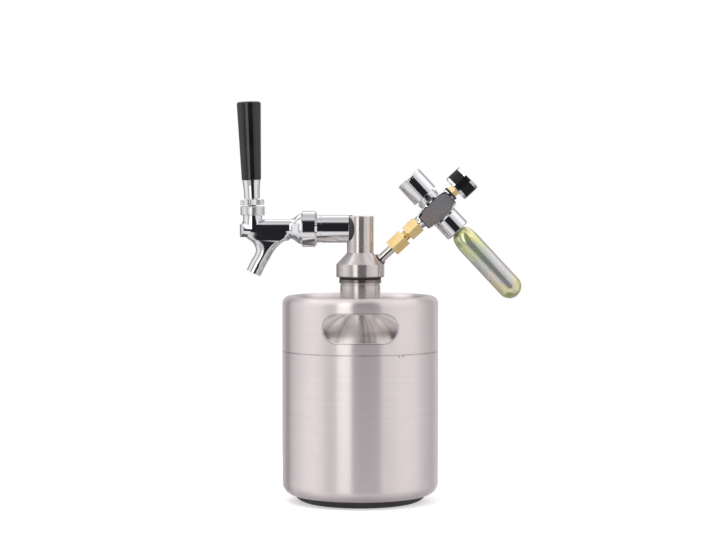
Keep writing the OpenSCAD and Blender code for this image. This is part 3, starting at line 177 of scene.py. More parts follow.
def handling_group():
    """Faint smudges and small dull specks left by hands and wiping."""
    group, tree, given, out = new_group(
        "handling",
        [("Vector", "Vector", None), ("Size", "Float", 20.0)],
        [("Smudge", "Float"), ("Speck", "Float")],
    )
    cloud = tree.noise(
        given["Vector"], given["Size"], detail=5.0, roughness=0.62, distortion=0.6,
    )
    speck = tree.noise(given["Vector"], scale=900.0, detail=2.0)
    tree.put(out, "Smudge", tree.fit(cloud, 0.42, 0.72))
    tree.put(out, "Speck", tree.fit(speck, 0.62, 0.72))
    return group


def grain_group():
    """Fine even grain of moulded plastic, rubber, plating or paint."""
    group, tree, given, out = new_group(
        "grain",
        [("Vector", "Vector", None), ("Size", "Float", 900.0)],
        [("Grain", "Float")],
    )
    noise = tree.noise(given["Vector"], given["Size"], detail=3.0, roughness=0.55)
    tree.put(out, "Grain", noise)
    return group


BRUSHING = brushing_group()
HANDLING = handling_group()
GRAIN = grain_group()


class Finish:
    """One material: its Principled shader, and the shared effects placed with its own values."""

    def __init__(self, name, colour, roughness, metallic=0.0, **sockets):
        self.material = bpy.data.materials.new(name)
        self.material.use_nodes = True
        self.tree = Tree(self.material.node_tree)
        self.shader = self.material.node_tree.nodes["Principled BSDF"]
        self.put("Base_Color", colour)
        self.put("Metallic", metallic)
        self.put("Roughness", roughness)
        for key, value in sockets.items():
            self.put(key, value)
        self.where = self.tree.add("ShaderNodeTexCoord").outputs["Object"]

    def put(self, key, value):
        self.tree.put(self.shader, key, value)

    def at(self, place=(0, 0, 0), turn=(0, 0, 0), stretch=(1, 1, 1)):
        """Object coordinates in metres, counted from a place, turned, then stretched."""
        centred = self.tree.add("ShaderNodeMapping", {"vector_type": "TEXTURE"}, Vector=self.where)
        centred.inputs["Location"].default_value = [v * MM for v in place]
        centred.inputs["Rotation"].default_value = turn
        stretched = self.tree.add(
            "ShaderNodeMapping", None, Vector=centred.outputs[0], Scale=stretch,
        )
        return stretched.outputs[0]

    def along(self, place, turn=(0, 0, 0)):
        """Metres from a place along +Z, after the turn."""
        split = self.tree.add("ShaderNodeSeparateXYZ", None, Vector=self.at(place, turn))
        return split.outputs["Z"]

    def group(self, group, **inputs):
        return self.tree.add("ShaderNodeGroup", {"node_tree": group}, **inputs).outputs

    def brushed_round(self, stretch):
        """Scratches that run round the upright axis, for reflections that spread across them."""
        radial = {"direction_type": "RADIAL", "axis": "Z"}
        self.put("Tangent", self.tree.add("ShaderNodeTangent", radial).outputs[0])
        return self.group(BRUSHING, Vector=self.at(stretch=stretch), Depth=0.5)

    def handling(self, size):
        """Smudges and specks; a larger size gives smaller smudges."""
        return self.group(HANDLING, Vector=self.where, Size=size)

    def grain(self, size, vector=None):
        """A larger size gives a finer grain."""
        vector = self.where if vector is None else vector
        return self.group(GRAIN, Vector=vector, Size=size)["Grain"]

    def bump(self, height, strength, distance=0.1 * MM):
        made = self.tree.add(
            "ShaderNodeBump", None, Height=height, Strength=strength, Distance=distance,
        )
        self.put("Normal", made.outputs["Normal"])

    def vary(self, mask, low, high):
        """Roughness from low to high over a mask."""
        self.put("Roughness", self.tree.fit(mask, 0.0, 1.0, low, high, "LINEAR"))


# ---- places on the object that finishes and pieces share ----

KEG_R = 80.0
SEAM_Z = 155.3  # middle of the fine groove between shell and collar
HOLE_Z, HOLE_W, HOLE_H = 181.9, 74.6, 28.2  # hand holes of the collar
GASKET_Z = 228.4  # the joint between neck and head, where the steel gets painted shade

GAS = math.radians(43)  # the gas axis rises by this angle from the head
ALONG_GAS = Vector((math.cos(GAS), 0, math.sin(GAS)))
TO_CARTRIDGE = Vector((math.sin(GAS), 0, -math.cos(GAS)))
GAS_PORT = Vector((20.3, 0, 248.626))  # where the gas axis leaves the head
REGULATOR = GAS_PORT + ALONG_GAS * 78.4  # middle of the regulator
TURN_GAS = (0, math.pi / 2 - GAS, 0)  # turns +Z onto the gas axis
TURN_CARTRIDGE = (0, math.pi - GAS, 0)  # turns +Z onto the cartridge's axis


# ---- finishes ----

# How far the scratches are stretched: on the keg, and finer on turned pieces
KEG_LINES = (9, 9, 2600)
TURNED_LINES = (14, 14, 5200)
# The cartridge's film, once round its colours
FILM = (
    (0.0, (0.78, 0.80, 0.38)), (0.2, (0.66, 0.74, 0.42)), (0.4, (0.60, 0.68, 0.56)),
    (0.54, (0.66, 0.68, 0.70)), (0.66, (0.74, 0.70, 0.70)), (0.8, (0.76, 0.74, 0.50)),
    (1.0, (0.78, 0.80, 0.38)),
)


def hand_hole_distance(f):
    """Metres outwards from the outline of the collar's hand holes; below zero inside it."""
    place = f.tree.add("ShaderNodeSeparateXYZ", None, Vector=f.at((0, 0, HOLE_Z))).outputs
    straight = (HOLE_W - HOLE_H) / 2 * MM
    beyond = f.tree.math("SUBTRACT", f.tree.math("ABSOLUTE", place["X"]), straight)
    beyond = f.tree.math("MAXIMUM", beyond, 0.0)
    flat = f.tree.add("ShaderNodeCombineXYZ", None, X=beyond, Z=place["Z"]).outputs[0]
    reach = f.tree.add("ShaderNodeVectorMath", {"operation": "LENGTH"}, _0=flat).outputs["Value"]
    return f.tree.math("SUBTRACT", reach, HOLE_H / 2 * MM)


def brushed_steel():
    """Keg shell: scratches run round the keg, so reflections spread up and down.

    The seam's fine groove gets painted shade, and each hand hole a painted highlight on its edge
    with a thin line of painted shade round it.
    """
    f = Finish(
        "keg_steel", (0.88, 0.825, 0.83), metallic=0.8, roughness=0.34,
        Anisotropic=0.98, Anisotropic_Rotation=0.25,
    )
    tree = f.tree
    lines = f.brushed_round(KEG_LINES)
    hands = f.handling(13.0)
    colour = tree.tone(lines["Streak"], 0.3, (0.895, 0.84, 0.85), (0.77, 0.715, 0.72))
    colour = tree.tone(hands["Smudge"], 0.1, colour, (0.76, 0.71, 0.705))
    # painted shade: the seam's fine groove is drawn dark, where its shadow would fall
    seam = tree.math("ABSOLUTE", f.along((0, 0, SEAM_Z)))
    seam = tree.fit(seam, 0.3 * MM, 0.5 * MM, 0.62, 0.0)
    colour = tree.mix(seam, colour, (0.12, 0.105, 0.10))
    edge = hand_hole_distance(f)
    # painted highlight on the hand hole's rounded edge
    bright = tree.fit(edge, 0.55 * MM, 0.7 * MM, 0.8, 0.0)
    colour = tree.mix(bright, colour, (1.0, 0.97, 0.97))
    # painted shade: a thin dark line just outside the hand hole's edge
    line_end = tree.fit(edge, 1.0 * MM, 1.6 * MM, 0.8, 0.0)
    line = tree.times(tree.fit(edge, 0.5 * MM, 0.8 * MM), line_end)
    f.put("Base_Color", tree.mix(line, colour, (0.22, 0.195, 0.20)))
    f.vary(tree.blend(0.35, hands["Smudge"], lines["Streak"]), 0.29, 0.38)
    f.bump(lines["Height"], 0.12, 0.04 * MM)
    return f.material


def spun_steel():
    """Dome: painted reflection, fans of light and dark that run out from the neck, as reflections
    streak on a spun dome.
    """
    f = Finish(
        "spun_steel", (0.80, 0.75, 0.75), metallic=0.85, roughness=0.3,
        Anisotropic=0.9, Anisotropic_Rotation=0.25,
    )
    lines = f.brushed_round(KEG_LINES)
    flat = f.at(stretch=(1, 1, 0))
    outwards = f.tree.add("ShaderNodeVectorMath", {"operation": "NORMALIZE"}, _0=flat).outputs[0]
    # painted reflection: light and dark fans round the upright axis, which also move the roughness
    fan = f.tree.noise(outwards, scale=5.6, detail=3.0, roughness=0.55)
    toned = f.tree.mix(f.tree.fit(fan, 0.40, 0.60), (0.52, 0.48, 0.475), (0.88, 0.83, 0.83))
    f.put("Base_Color", f.tree.tone(lines["Streak"], 0.2, toned, (0.55, 0.51, 0.50)))
    f.vary(fan, 0.24, 0.40)
    f.bump(lines["Height"], 0.12, 0.04 * MM)
    return f.material


def turned_steel():
    """Head, neck and small lathe-turned steel: fine rings, a little brighter than the keg."""
    f = Finish(
        "turned_steel", (0.76, 0.725, 0.72), metallic=0.92, roughness=0.3,
        Anisotropic=0.95, Anisotropic_Rotation=0.25,
    )
    lines = f.brushed_round(TURNED_LINES)
    hands = f.handling(40.0)
    colour = f.tree.tone(lines["Streak"], 0.35, (0.80, 0.765, 0.76), (0.64, 0.605, 0.60))
    colour = f.tree.tone(hands["Smudge"], 0.12, colour, (0.62, 0.58, 0.57))
    # painted shade round the joint between neck and head, where the skirt and lip shade each other
    joint = f.tree.math("ABSOLUTE", f.along((0, 0, GASKET_Z)))
    joint = f.tree.fit(joint, 2.4 * MM, 4.2 * MM, 0.78, 0.0)
    f.put("Base_Color", f.tree.mix(joint, colour, (0.13, 0.118, 0.115)))
    f.vary(f.tree.blend(0.4, hands["Smudge"], lines["Streak"]), 0.22, 0.30)
    f.bump(lines["Height"], 0.1, 0.03 * MM)
    return f.material


def stem_steel():
    """Gas stem and small pins and springs: bright drawn steel, with rings round the gas axis."""
    f = Finish("stem_steel", (0.80, 0.76, 0.75), metallic=1.0, roughness=0.14)
    rings = f.at(GAS_PORT, TURN_GAS, (60, 60, 5000))
    lines = f.group(BRUSHING, Vector=rings, Depth=0.4)
    hands = f.handling(60.0)
    toned = f.tree.tone(lines["Streak"], 0.3, (0.82, 0.78, 0.77), (0.66, 0.62, 0.60))
    f.put("Base_Color", toned)
    f.vary(hands["Smudge"], 0.1, 0.2)
    f.bump(lines["Height"], 0.08, 0.02 * MM)
    return f.material


def chrome():
    """Bright plating, a little uneven, with fingermarks."""
    f = Finish("chrome", (0.90, 0.925, 0.95), metallic=1.0, roughness=0.05)
    hands = f.handling(45.0)
    toned = f.tree.tone(hands["Smudge"], 0.12, (0.92, 0.95, 0.975), (0.80, 0.82, 0.84))
    f.put("Base_Color", toned)
    f.vary(f.tree.math("MULTIPLY_ADD", hands["Speck"], 0.3, hands["Smudge"]), 0.035, 0.085)
    f.bump(f.grain(160.0), 0.03, 0.2 * MM)
    return f.material


def cast_chrome():
    """Plating over rough castings and fine knurls: softer, with mottled reflections."""
    f = Finish("cast_chrome", (0.84, 0.85, 0.87), metallic=0.9, roughness=0.26)
    hands = f.handling(60.0)
    knurl = f.grain(900.0, f.at(stretch=(1, 1, 0.12)))
    mottled = f.tree.tone(hands["Smudge"], 0.3, (0.88, 0.90, 0.925), (0.66, 0.67, 0.69))
    low = f.tree.fit(knurl, 0.35, 0.6, 0.35, 0.0)
    f.put("Base_Color", f.tree.mix(low, mottled, (0.45, 0.46, 0.48)))
    f.vary(knurl, 0.20, 0.36)
    f.bump(knurl, 0.6, 0.2 * MM)
    return f.material


def brass():
    """Bare machined brass, with tool marks round the gas axis."""
    f = Finish("brass", (0.92, 0.74, 0.38), metallic=1.0, roughness=0.15)
    hands = f.handling(90.0)
    rings = f.at(GAS_PORT, TURN_GAS, (500, 500, 3600))
    lines = f.group(BRUSHING, Vector=rings, Depth=0.5)
    toned = f.tree.mix(hands["Smudge"], (0.98, 0.79, 0.40), (0.92, 0.66, 0.27))
    f.put("Base_Color", f.tree.tone(lines["Streak"], 0.18, toned, (0.74, 0.46, 0.16)))
    f.vary(f.tree.blend(0.5, lines["Streak"], hands["Smudge"]), 0.09, 0.2)
    f.bump(lines["Height"], 0.08, 0.03 * MM)
    return f.material


def zinc_plate():
    """Cartridge: grey-green zinc whose thin film turns yellow, lilac and bluish in patches."""
    f = Finish("zinc_plate", (0.66, 0.68, 0.50), metallic=0.75, roughness=0.2)
    tree = f.tree
    down = f.along(REGULATOR, TURN_CARTRIDGE)
    drift = tree.noise(
        f.at(REGULATOR, TURN_CARTRIDGE, (75, 75, 26)), scale=1.0, detail=2.5, distortion=0.8,
    )
    film = tree.math("FRACT", tree.math("MULTIPLY_ADD", drift, 1.6, tree.times(down, 9.0)))
    tint = tree.ramp(film, FILM)
    hands = f.handling(70.0)
    mottle = tree.noise(
        f.at(REGULATOR, TURN_CARTRIDGE, (170, 170, 80)), scale=1.0, detail=4.0, roughness=0.6,
    )
    olive = tree.fit(mottle, 0.5, 0.75, 0.0, 0.35)
    f.put("Base_Color", tree.mix(olive, tint, (0.38, 0.40, 0.20)))
    f.vary(tree.blend(0.6, mottle, hands["Smudge"]), 0.10, 0.22)
    f.bump(mottle, 0.04)
    return f.material


def rubber():
    """Black rubber, paler where it is rubbed."""
    f = Finish("rubber", (0.022, 0.021, 0.021), roughness=0.62)
    grain = f.grain(1400.0)
    hands = f.handling(30.0)
    toned = f.tree.tone(hands["Smudge"], 0.5, (0.032, 0.029, 0.029), (0.055, 0.050, 0.050))
    f.put("Base_Color", toned)
    f.vary(hands["Smudge"], 0.52, 0.72)
    f.bump(grain, 0.25)
    return f.material


def black_grip():
    """Smooth black plastic with a shallow mould grain."""
    f = Finish(
        "black_grip", (0.006, 0.006, 0.008), roughness=0.1,
        Coat_Weight=0.4, Coat_Roughness=0.06, Specular_Tint=(0.90, 0.93, 1.0),
    )
    grain = f.grain(420.0)
    hands = f.handling(24.0)
    toned = f.tree.mix(hands["Smudge"], (0.006, 0.006, 0.0075), (0.011, 0.011, 0.012))
    f.put("Base_Color", toned)
    f.vary(f.tree.blend(0.6, hands["Smudge"], grain), 0.07, 0.16)
    f.bump(grain, 0.02, 0.08 * MM)
    return f.material


def dark_plate():
    """Anodised plate: dark grey that wears to brown at the end nearest the head."""
    f = Finish("dark_plate", (0.30, 0.295, 0.31), metallic=0.6, roughness=0.36)
    grain = f.grain(2200.0)
    hands = f.handling(60.0)
    worn = f.tree.fit(f.along(REGULATOR, TURN_GAS), -17 * MM, 4 * MM, 1.0, 0.0)
    toned = f.tree.mix(hands["Smudge"], (0.30, 0.295, 0.315), (0.24, 0.235, 0.25))
    f.put("Base_Color", f.tree.tone(worn, 0.75, toned, (0.33, 0.28, 0.26)))
    f.vary(grain, 0.28, 0.42)
    f.bump(grain, 0.12, 0.05 * MM)
    return f.material


def clear_lens():
    """The gauge's clear plastic lens, with faint smears."""
    f = Finish(
        "clear_lens", (0.97, 0.98, 0.98), roughness=0.03, IOR=1.49, Transmission_Weight=1.0,
    )
    f.vary(f.handling(80.0)["Smudge"], 0.015, 0.05)
    return f.material


def grained(name, colour, roughness, size, tones, rough, bump=0.0, **sockets):
    """A plain finish. Its fine grain moves its colour and its roughness between two values."""
    f = Finish(name, colour, roughness=roughness, **sockets)
    grain = f.grain(size)
    f.put("Base_Color", f.tree.mix(grain, *tones))
    f.vary(grain, *rough)
    if bump:
        f.bump(grain, bump, 0.05 * MM)
    return f.material


STEEL, SPUN, TURNED, STEM = brushed_steel(), spun_steel(), turned_steel(), stem_steel()
CHROME, CAST, BRASS, ZINC = chrome(), cast_chrome(), brass(), zinc_plate()
RUBBER, GRIP, PLATE, LENS = rubber(), black_grip(), dark_plate(), clear_lens()
# Tack marks, with the purplish heat tint of a small weld
BURNT = grained(
    "burnt_steel", (0.13, 0.10, 0.125), roughness=0.42, size=2400.0,
    tones=((0.10, 0.075, 0.10), (0.20, 0.165, 0.185)), rough=(0.34, 0.5), metallic=0.8,
)
# Enamel of the gauge's case
CASE = grained(
    "case_black", (0.006, 0.006, 0.007), roughness=0.22, size=1100.0,
    tones=((0.005, 0.005, 0.006), (0.010, 0.010, 0.011)), rough=(0.16, 0.28), bump=0.1,
    Specular_IOR_Level=0.18,
)
NYLON = grained(
    "nylon", (0.86, 0.85, 0.80), roughness=0.45, size=800.0,
    tones=((0.88, 0.87, 0.82), (0.80, 0.79, 0.73)), rough=(0.4, 0.52), bump=0.1,
)
DIAL = grained(
    "dial_white", (0.90, 0.90, 0.88), roughness=0.5, size=1800.0,
    tones=((0.92, 0.92, 0.90), (0.87, 0.87, 0.84)), rough=(0.45, 0.58),
)
INK = grained(
    "dial_ink", (0.015, 0.015, 0.018), roughness=0.45, size=1500.0,
    tones=((0.012, 0.012, 0.014), (0.03, 0.03, 0.034)), rough=(0.4, 0.55),
)

FINISHES = {
    STEEL: ("keg_body", "keg_collar"),
    SPUN: ("keg_dome",),
    TURNED: ("keg_neck", "head_body", "dip_tube", "plunger_shaft", "lever"),
    STEM: (
        "gas_stem", "spring_seat", "pressure_spring", "poppet_spring", "piercing_pin",
        "cartridge_cap",
    ),
    CHROME: (
        "shank_tube", "coupling_nut", "faucet_body", "handle_ferrule",
        "outlet_collar", "regulator_body", "regulator_bonnet", "knob", "knob_cap",
        "cartridge_sleeve", "gauge_back", "gauge_bezel",
    ),
    CAST: ("faucet_bonnet", "lever_collar"),
    BRASS: (
        "washer_retainer", "swivel_nut", "hex_adapter", "piston", "poppet", "gauge_stem",
        "bourdon_tube",
    ),
    ZINC: ("cartridge",),
    RUBBER: (
        "base_ring", "neck_gasket", "spigot_oring", "dip_tube_seal", "shank_seal",
        "coupling_washer", "plunger_oring", "seat_washer", "stem_gasket", "piston_oring",
        "pin_seal", "gauge_band",
    ),
    GRIP: ("handle_grip",),
    PLATE: ("front_plate",),
    CASE: ("gauge_case",),
    NYLON: ("friction_washer", "flare_washer"),
    DIAL: ("gauge_dial",),
    INK: ("gauge_needle",),
    LENS: ("gauge_lens",),
}
for finish, names in FINISHES.items():
    for name in names:
        for place in node[name].material_slots:
            place.material = finish


# ---- pieces ----

SAME_POINT = 2e-6  # metres; closer points of a CAD skin are one point
SHARP = math.radians(50)  # least angle of an edge that gets rounded
BODY_FRONT = 10.5  # from the gas axis to the front of the regulator's block
KNOB_EDGE = 9  # the block's long edge on the knob's side lies further than this from the gas axis


def to_object(name, bm, finish, body):
    """Ends a bmesh: a piece in metres, at the origin, that rides on a body."""
    mesh = bpy.data.meshes.new(name)
    bm.to_mesh(mesh)
    bm.free()
    mesh.materials.append(finish)
    piece = bpy.data.objects.new(name, mesh)
    scene.collection.objects.link(piece)
    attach(piece, body)
    return piece


def onto_gas_axis(bm, distance=0):
    """Moves what was built in millimetres along +Z onto the gas axis, in metres."""
    place = Matrix.Translation((GAS_PORT + ALONG_GAS * distance) * MM)
    bm.transform(place @ Matrix.Rotation(TURN_GAS[1], 4, "Y") @ Matrix.Scale(MM, 4))


def smooth(bm, degrees):
    """Soft shading over the shallow edges, with the crisp ones kept."""
    limit = math.radians(degrees)
    for face in bm.faces:
        face.smooth = True
    for edge in bm.edges:
        edge.smooth = len(edge.link_faces) == 2 and edge.calc_face_angle(0) < limit


def hand_hole_rim(a, b):
    """The edge where a hand hole meets the outside of the collar."""
    return all(
        math.hypot(v.x, v.y) > KEG_R - 0.2
        and abs(v.x) < HOLE_W / 2 + 1 and abs(v.z - HOLE_Z) < HOLE_H / 2 + 1
        for v in (a, b)
    )


def on_front(v):
    return v.y < -BODY_FRONT + 0.05


def knob_side(a, b):
    """The long outer edge of the regulator's front on the knob's side."""
    return all(on_front(v) and (REGULATOR - v).dot(TO_CARTRIDGE) > KNOB_EDGE for v in (a, b))


def front_outline(a, b):
    """The other outer edges of the regulator's front, round its plate."""
    return on_front(a) and on_front(b) and not knob_side(a, b)


def smooth_copy(name, finish, body, slot, degrees, *rounded):
    """A CAD node's own shape as one joined skin, whose narrow bands shade as one curve.

    Edges below the given angle shade softly. Each entry of rounded is a test that picks edges
    by their two ends in millimetres, and how far to round them.
    """
    bm = bmesh.new()
    bm.from_mesh(node[name].data)
    bmesh.ops.remove_doubles(bm, verts=bm.verts, dist=SAME_POINT)
    for chosen, width in rounded:
        picked = [
            e for e in bm.edges
            if len(e.link_faces) == 2 and e.calc_face_angle(0) > SHARP
            and chosen(e.verts[0].co / MM, e.verts[1].co / MM)
        ]
        bmesh.ops.bevel(
            bm, geom=picked, offset=width * MM, segments=3, profile=0.5, affect="EDGES",
            material=-1,
        )
    smooth(bm, degrees)
    piece = to_object(name + "_skin", bm, finish, body)
    even = piece.modifiers.new("even_normals", "WEIGHTED_NORMAL")
    even.keep_sharp = True
    even.mode = "FACE_AREA_WITH_ANGLE"
    even.weight = 80
    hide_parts(name)


def fitting_thread():
    """The thread that shows between the brass pieces: a helical ridge on a plain cylinder."""
    radius, pitch, depth = 5.0, 1.25, 0.32
    low, high = 34.1, 38.7  # along the gas axis, from its port
    foot, crest = 0.42 * pitch, 0.07 * pitch  # half widths of the ridge
    sunk = radius - 0.15
    steps = 36  # in a turn
    section = (
        (sunk, -foot), (radius, -foot), (radius + depth, -crest),
        (radius + depth, crest), (radius, foot), (sunk, foot),
    )
    bm = bmesh.new()
    start = [bm.verts.new((r, 0, low + foot + z)) for r, z in section]
    loop = [bm.edges.new((start[i], start[(i + 1) % len(start)])) for i in range(len(start))]
    turns = (high - low - 2 * foot) / pitch
    bmesh.ops.spin(
        bm, geom=start + loop, cent=(0, 0, 0), axis=(0, 0, 1), dvec=(0, 0, pitch / steps),
        angle=2 * math.pi * turns, steps=round(turns * steps), use_merge=False,
    )
    ends = [e for e in bm.edges if e.is_boundary]
    bmesh.ops.holes_fill(bm, edges=ends, sides=2 * len(section))
    bmesh.ops.recalc_face_normals(bm, faces=bm.faces)
    smooth(bm, 40)
    onto_gas_axis(bm)
    to_object("fitting_thread", bm, BRASS, "head")


def weld_dots():
    """Two small tack marks on the shell, just under the seam."""
    bm = bmesh.new()
    for x in (38.7, 42.9):
        dot = bmesh.ops.create_icosphere(bm, subdivisions=2, radius=0.75)["verts"]
        bmesh.ops.scale(bm, verts=dot, vec=(1, 0.35, 0.8))  # flat against the shell
        outwards = Matrix.Rotation(math.asin(x / KEG_R), 3, "Z")
        bmesh.ops.rotate(bm, verts=dot, cent=(0, 0, 0), matrix=outwards)
        y = -math.sqrt(KEG_R ** 2 - x ** 2)
        bmesh.ops.translate(bm, verts=dot, vec=(x, y, SEAM_Z - 1.5))
    smooth(bm, 60)
    bm.transform(Matrix.Scale(MM, 4))
    to_object("weld_dots", bm, BURNT, "keg")


DIAL_FACE = 118.05  # from the gas port to the dial, along the gas axis
DIAL_TOP = 60  # the scale's highest number
TICK_END = 10.9  # radius at which the ticks end
TICK_DEPTH = 0.05
NUMBER_R = 7.3  # radius on which the numbers stand


def dial_angle(value):
    """The scale runs over 270 degrees, clockwise for someone who faces it."""
    return math.radians(-45 - 270 * value / DIAL_TOP)


def dial_marks():
    """A plain pressure scale: a tick for each unit, longer at each five and each ten."""
    bm = bmesh.new()
    for value in range(DIAL_TOP + 1):
        ten, five = value % 10 == 0, value % 5 == 0
        length = 2.0 if ten else (1.4 if five else 0.9)
        width = 0.36 if ten else 0.16
        tick = bmesh.ops.create_cube(bm, size=1)["verts"]
        bmesh.ops.scale(bm, verts=tick, vec=(length, width, TICK_DEPTH))
        bmesh.ops.translate(bm, verts=tick, vec=(TICK_END - length / 2, 0, 0.02))
        turn = Matrix.Rotation(dial_angle(value), 3, "Z")
        bmesh.ops.rotate(bm, verts=tick, cent=(0, 0, 0), matrix=turn)
    onto_gas_axis(bm, DIAL_FACE)
    to_object("dial_marks", bm, INK, "head")


def dial_numbers():
    """Plain numbers beside the long ticks, upright for someone who faces the gauge."""
    # a number lies with its right along local +Y and its top along local -X
    upright = Matrix(((0, -1, 0, 0), (1, 0, 0, 0), (0, 0, 1, 0), (0, 0, 0, 1)))
    pieces = []
    for value in range(0, DIAL_TOP + 1, 10):
        text = bpy.data.curves.new("number", "FONT")
        text.body = str(value)
        text.size = 2.3
        text.align_x = "CENTER"
        text.align_y = "CENTER"
        text.extrude = 0.02
        text.resolution_u = 3
        made = bpy.data.objects.new("number", text)
        scene.collection.objects.link(made)
        pieces.append(made)
        angle = dial_angle(value)
        place = (NUMBER_R * math.cos(angle), NUMBER_R * math.sin(angle), 0.03)
        made.matrix_world = Matrix.Translation(place) @ upright
    bpy.context.view_layer.update()
    bm = bmesh.new()
    graph = bpy.context.evaluated_depsgraph_get()
    for made in pieces:
        mesh = bpy.data.meshes.new_from_object(made.evaluated_get(graph))
        mesh.transform(made.matrix_world)
        bm.from_mesh(mesh)
        bpy.data.meshes.remove(mesh)
        bpy.data.objects.remove(made)
    onto_gas_axis(bm, DIAL_FACE)
    to_object("dial_numbers", bm, INK, "head")


# Node, finish, body, slot, angle of soft shading, and the edges to round
for name, finish, body, slot, *shape in (
    ("keg_body", STEEL, "keg", "stainless", 32),
    ("keg_collar", STEEL, "keg", "stainless", 32, (hand_hole_rim, 0.6)),
    ("keg_dome", SPUN, "keg", "stainless", 32),
    ("faucet_body", CHROME, "head", "chrome_plate", 34),
    ("handle_grip", GRIP, "tap_lever", "black_plastic", 36),
    ("handle_ferrule", CHROME, "tap_lever", "chrome_plate", 30),
    ("cartridge", ZINC, "cartridge", "zinc_plate", 32),
    ("base_ring", RUBBER, "keg", "rubber", 40),
    (
        "regulator_body", CHROME, "head", "chrome_plate", 30,
        (knob_side, 2.4), (front_outline, 0.75),
    ),
    ("gauge_case", CASE, "head", "black_enamel", 30),
):
    smooth_copy(name, finish, body, slot, *shape)

fitting_thread()
weld_dots()
dial_marks()
dial_numbers()


# ---- studio ----

WHITE, BLACK = (1, 1, 1), (0, 0, 0)
TABLE_RADIUS = 14  # metres
WARM = (1.0, 0.955, 0.965)  # tint of the walls, table and roof
# Brightness of the studio's walls by the angle round the object, from the camera towards +X
WALLS = (
    (-180, 0.55), (-157, 0.50), (-143, 0.26), (-134, 0.12), (-127, 0.40), (-118, 0.56),
    (-109, 0.64), (-100, 0.74), (-91, 0.86), (-80, 0.88), (-70, 0.85), (-60, 0.74), (-52, 0.52),
    (-45, 0.42), (-38, 0.50), (28, 0.55), (38, 0.66), (50, 0.70), (60, 0.78), (75, 0.82),
    (88, 0.80), (96, 0.72), (102, 0.62), (110, 0.52), (118, 0.46), (126, 0.40), (133, 0.34),
    (141, 0.42), (157, 0.56), (180, 0.55),
)
# Brightness of the table in front of the object and behind it, by the angle above the horizon
TABLE_NEAR = (
    (-90, 0.08), (-72, 0.08), (-65, 0.15), (-58, 0.36), (-51, 0.60), (-44, 0.76), (-36, 0.76),
    (0, 0.72),
)
TABLE_FAR = ((-90, 0.15), (-70, 0.18), (-54, 0.18), (-36, 0.28), (-20, 0.48), (0, 0.48))
# Brightness overhead, in front and behind, by the same angle
ROOF_NEAR = ((0, 1.0), (36, 1.0), (50, 1.15), (62, 0.9), (74, 0.62), (90, 0.56))
ROOF_FAR = (
    (0, 0.90), (33, 0.95), (42, 1.25), (54, 1.2), (68, 0.75), (80, 0.56), (90, 0.56),
)


def set_floor():
    """White table that melts into the white background: its glow is painted light, weaker near the
    keg so that the soft shadow cast under the keg shows.
    """
    bm = bmesh.new()
    bmesh.ops.create_circle(bm, cap_ends=True, radius=TABLE_RADIUS, segments=96)
    mesh = bpy.data.meshes.new("floor")
    bm.to_mesh(mesh)
    bm.free()
    floor = bpy.data.objects.new("floor", mesh)
    scene.collection.objects.link(floor)
    floor.visible_glossy = False  # metal sees the studio's own lower half in its place
    f = Finish("floor_white", (0.93, 0.93, 0.93), roughness=0.9, Specular_IOR_Level=0.0)
    away = f.tree.add("ShaderNodeVectorMath", {"operation": "LENGTH"}, _0=f.where)
    away = away.outputs["Value"]
    # painted light: away from the keg the table's colour goes to black and its painted glow grows
    # to plain white
    f.put("Base_Color", f.tree.mix(f.tree.fit(away, 160 * MM, 500 * MM), (0.66, 0.66, 0.66), BLACK))
    f.put("Emission_Color", WHITE)
    f.put("Emission_Strength", f.tree.fit(away, 80 * MM, 420 * MM, 0.5, 1.05))
    mesh.materials.append(f.material)


def set_world():
    """The studio's walls, table and roof, as metal sees them. The camera sees plain white."""
    world = bpy.data.worlds.new("studio")
    scene.world = world
    world.use_nodes = True
    world.node_tree.nodes.clear()
    tree = Tree(world.node_tree)
    way = tree.add("ShaderNodeTexCoord").outputs["Generated"]
    way = tree.add("ShaderNodeSeparateXYZ", None, Vector=way).outputs
    side = tree.math("DEGREES", tree.math("ARCTAN2", way["X"], tree.times(way["Y"], -1.0)))
    lift = tree.math("DEGREES", tree.math("ARCSINE", way["Z"]))
    behind = tree.fit(way["Y"], -0.25, 0.35)

    def levels(value, stops):
        """A tinted ramp over an angle, given as (degrees, brightness) pairs."""
        low, high = stops[0][0], stops[-1][0]
        share = tree.fit(value, low, high, 0.0, 1.0, "LINEAR")
        return tree.ramp(
            share, [((d - low) / (high - low), [b * c for c in WARM]) for d, b in stops],
        )

    # the table is darker towards the gas side, and the roof brighter towards the tap
    table = tree.mix(behind, levels(lift, TABLE_NEAR), levels(lift, TABLE_FAR))
    table = tree.mix(tree.fit(way["X"], 0.2, 0.65, 0.0, 0.3), table, BLACK)
    roof = tree.mix(behind, levels(lift, ROOF_NEAR), levels(lift, ROOF_FAR))
    roof = tree.mix(tree.fit(way["X"], -0.65, -0.2, 0.5, 0.0), roof, (1.6, 1.55, 1.5))
    colour = tree.mix(tree.fit(lift, -30.0, -22.0, 1.0, 0.0), levels(side, WALLS), table)
    colour = tree.mix(tree.fit(lift, 30.0, 44.0), colour, roof)
    studio = tree.add("ShaderNodeBackground", None, Color=colour, Strength=1.0).outputs[0]
    plain = tree.add("ShaderNodeBackground", None, Color=WHITE, Strength=1.0).outputs[0]
    seen = tree.add("ShaderNodeLightPath").outputs["Is Camera Ray"]
    both = tree.add("ShaderNodeMixShader", None, _0=seen, _1=studio, _2=plain)
    tree.add("ShaderNodeOutputWorld", None, Surface=both.outputs[0])


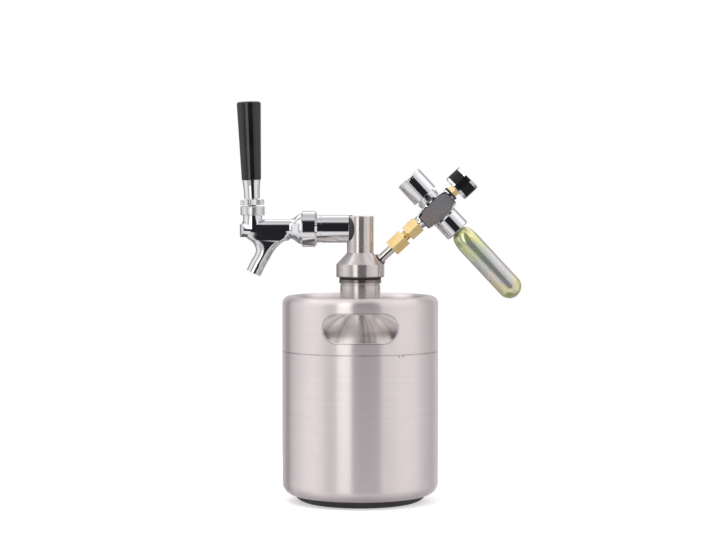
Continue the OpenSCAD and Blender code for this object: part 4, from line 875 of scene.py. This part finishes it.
def set_panel(name, sides, heights, y, colour, soft_low, soft_high):
    """An upright card that only reflections show, with soft lower and upper edges.

    sides and heights are its limits, and soft_low and soft_high how far its edges fade.
    """
    (left, right), (low, high) = sides, heights
    corners = ((left, low), (right, low), (right, high), (left, high))
    mesh = bpy.data.meshes.new(name)
    mesh.from_pydata([(x * MM, y * MM, z * MM) for x, z in corners], [], [(0, 1, 2, 3)])
    card = bpy.data.objects.new(name, mesh)
    scene.collection.objects.link(card)
    card.visible_camera = card.visible_diffuse = False
    card.visible_shadow = card.visible_transmission = False
    material = bpy.data.materials.new(name)
    material.use_nodes = True
    material.node_tree.nodes.clear()
    tree = Tree(material.node_tree)
    place = tree.add("ShaderNodeTexCoord").outputs["Object"]
    height = tree.add("ShaderNodeSeparateXYZ", None, Vector=place).outputs["Z"]
    rise = tree.fit(height, low * MM, (low + soft_low) * MM)
    fall = tree.fit(height, (high - soft_high) * MM, high * MM, 1.0, 0.0)
    light = tree.add("ShaderNodeEmission", None, Color=colour, Strength=1.0).outputs[0]
    clear = tree.add("ShaderNodeBsdfTransparent").outputs[0]
    both = tree.add("ShaderNodeMixShader", None, _0=tree.times(rise, fall), _1=clear, _2=light)
    tree.add("ShaderNodeOutputMaterial", None, Surface=both.outputs[0])
    mesh.materials.append(material)


def set_lights():
    """Two soft lamps for the table and the matt pieces. Reflections don't show them."""
    for label, place, aim, width, watts in (
        ("top_light", Vector((-300, -500, 1500)), Vector((0, 0, 150)), 900, 9),
        ("side_light", Vector((1300, -700, 900)), Vector((0, 0, 220)), 500, 5),
    ):
        lamp = bpy.data.lights.new(label, "AREA")
        lamp.size = width * MM
        lamp.energy = watts
        made = bpy.data.objects.new(label, lamp)
        made.visible_glossy = False
        made.location = place * MM
        made.rotation_euler = (aim - place).to_track_quat("-Z", "Y").to_euler()
        scene.collection.objects.link(made)


set_camera()
set_floor()
set_world()
set_panel(
    "dark_card", sides=(-178, 490), heights=(-90, 2400), y=-860,
    colour=(0.0175, 0.0160, 0.0205), soft_low=130, soft_high=1260,
)
set_panel(
    "strip_light", sides=(-720, -268), heights=(40, 2100), y=-1100,
    colour=(1.60, 1.64, 1.50), soft_low=120, soft_high=500,
)
set_lights()
scene.view_settings.view_transform = "Standard"
scene.view_settings.look = "None"
scene.cycles.use_denoising = True
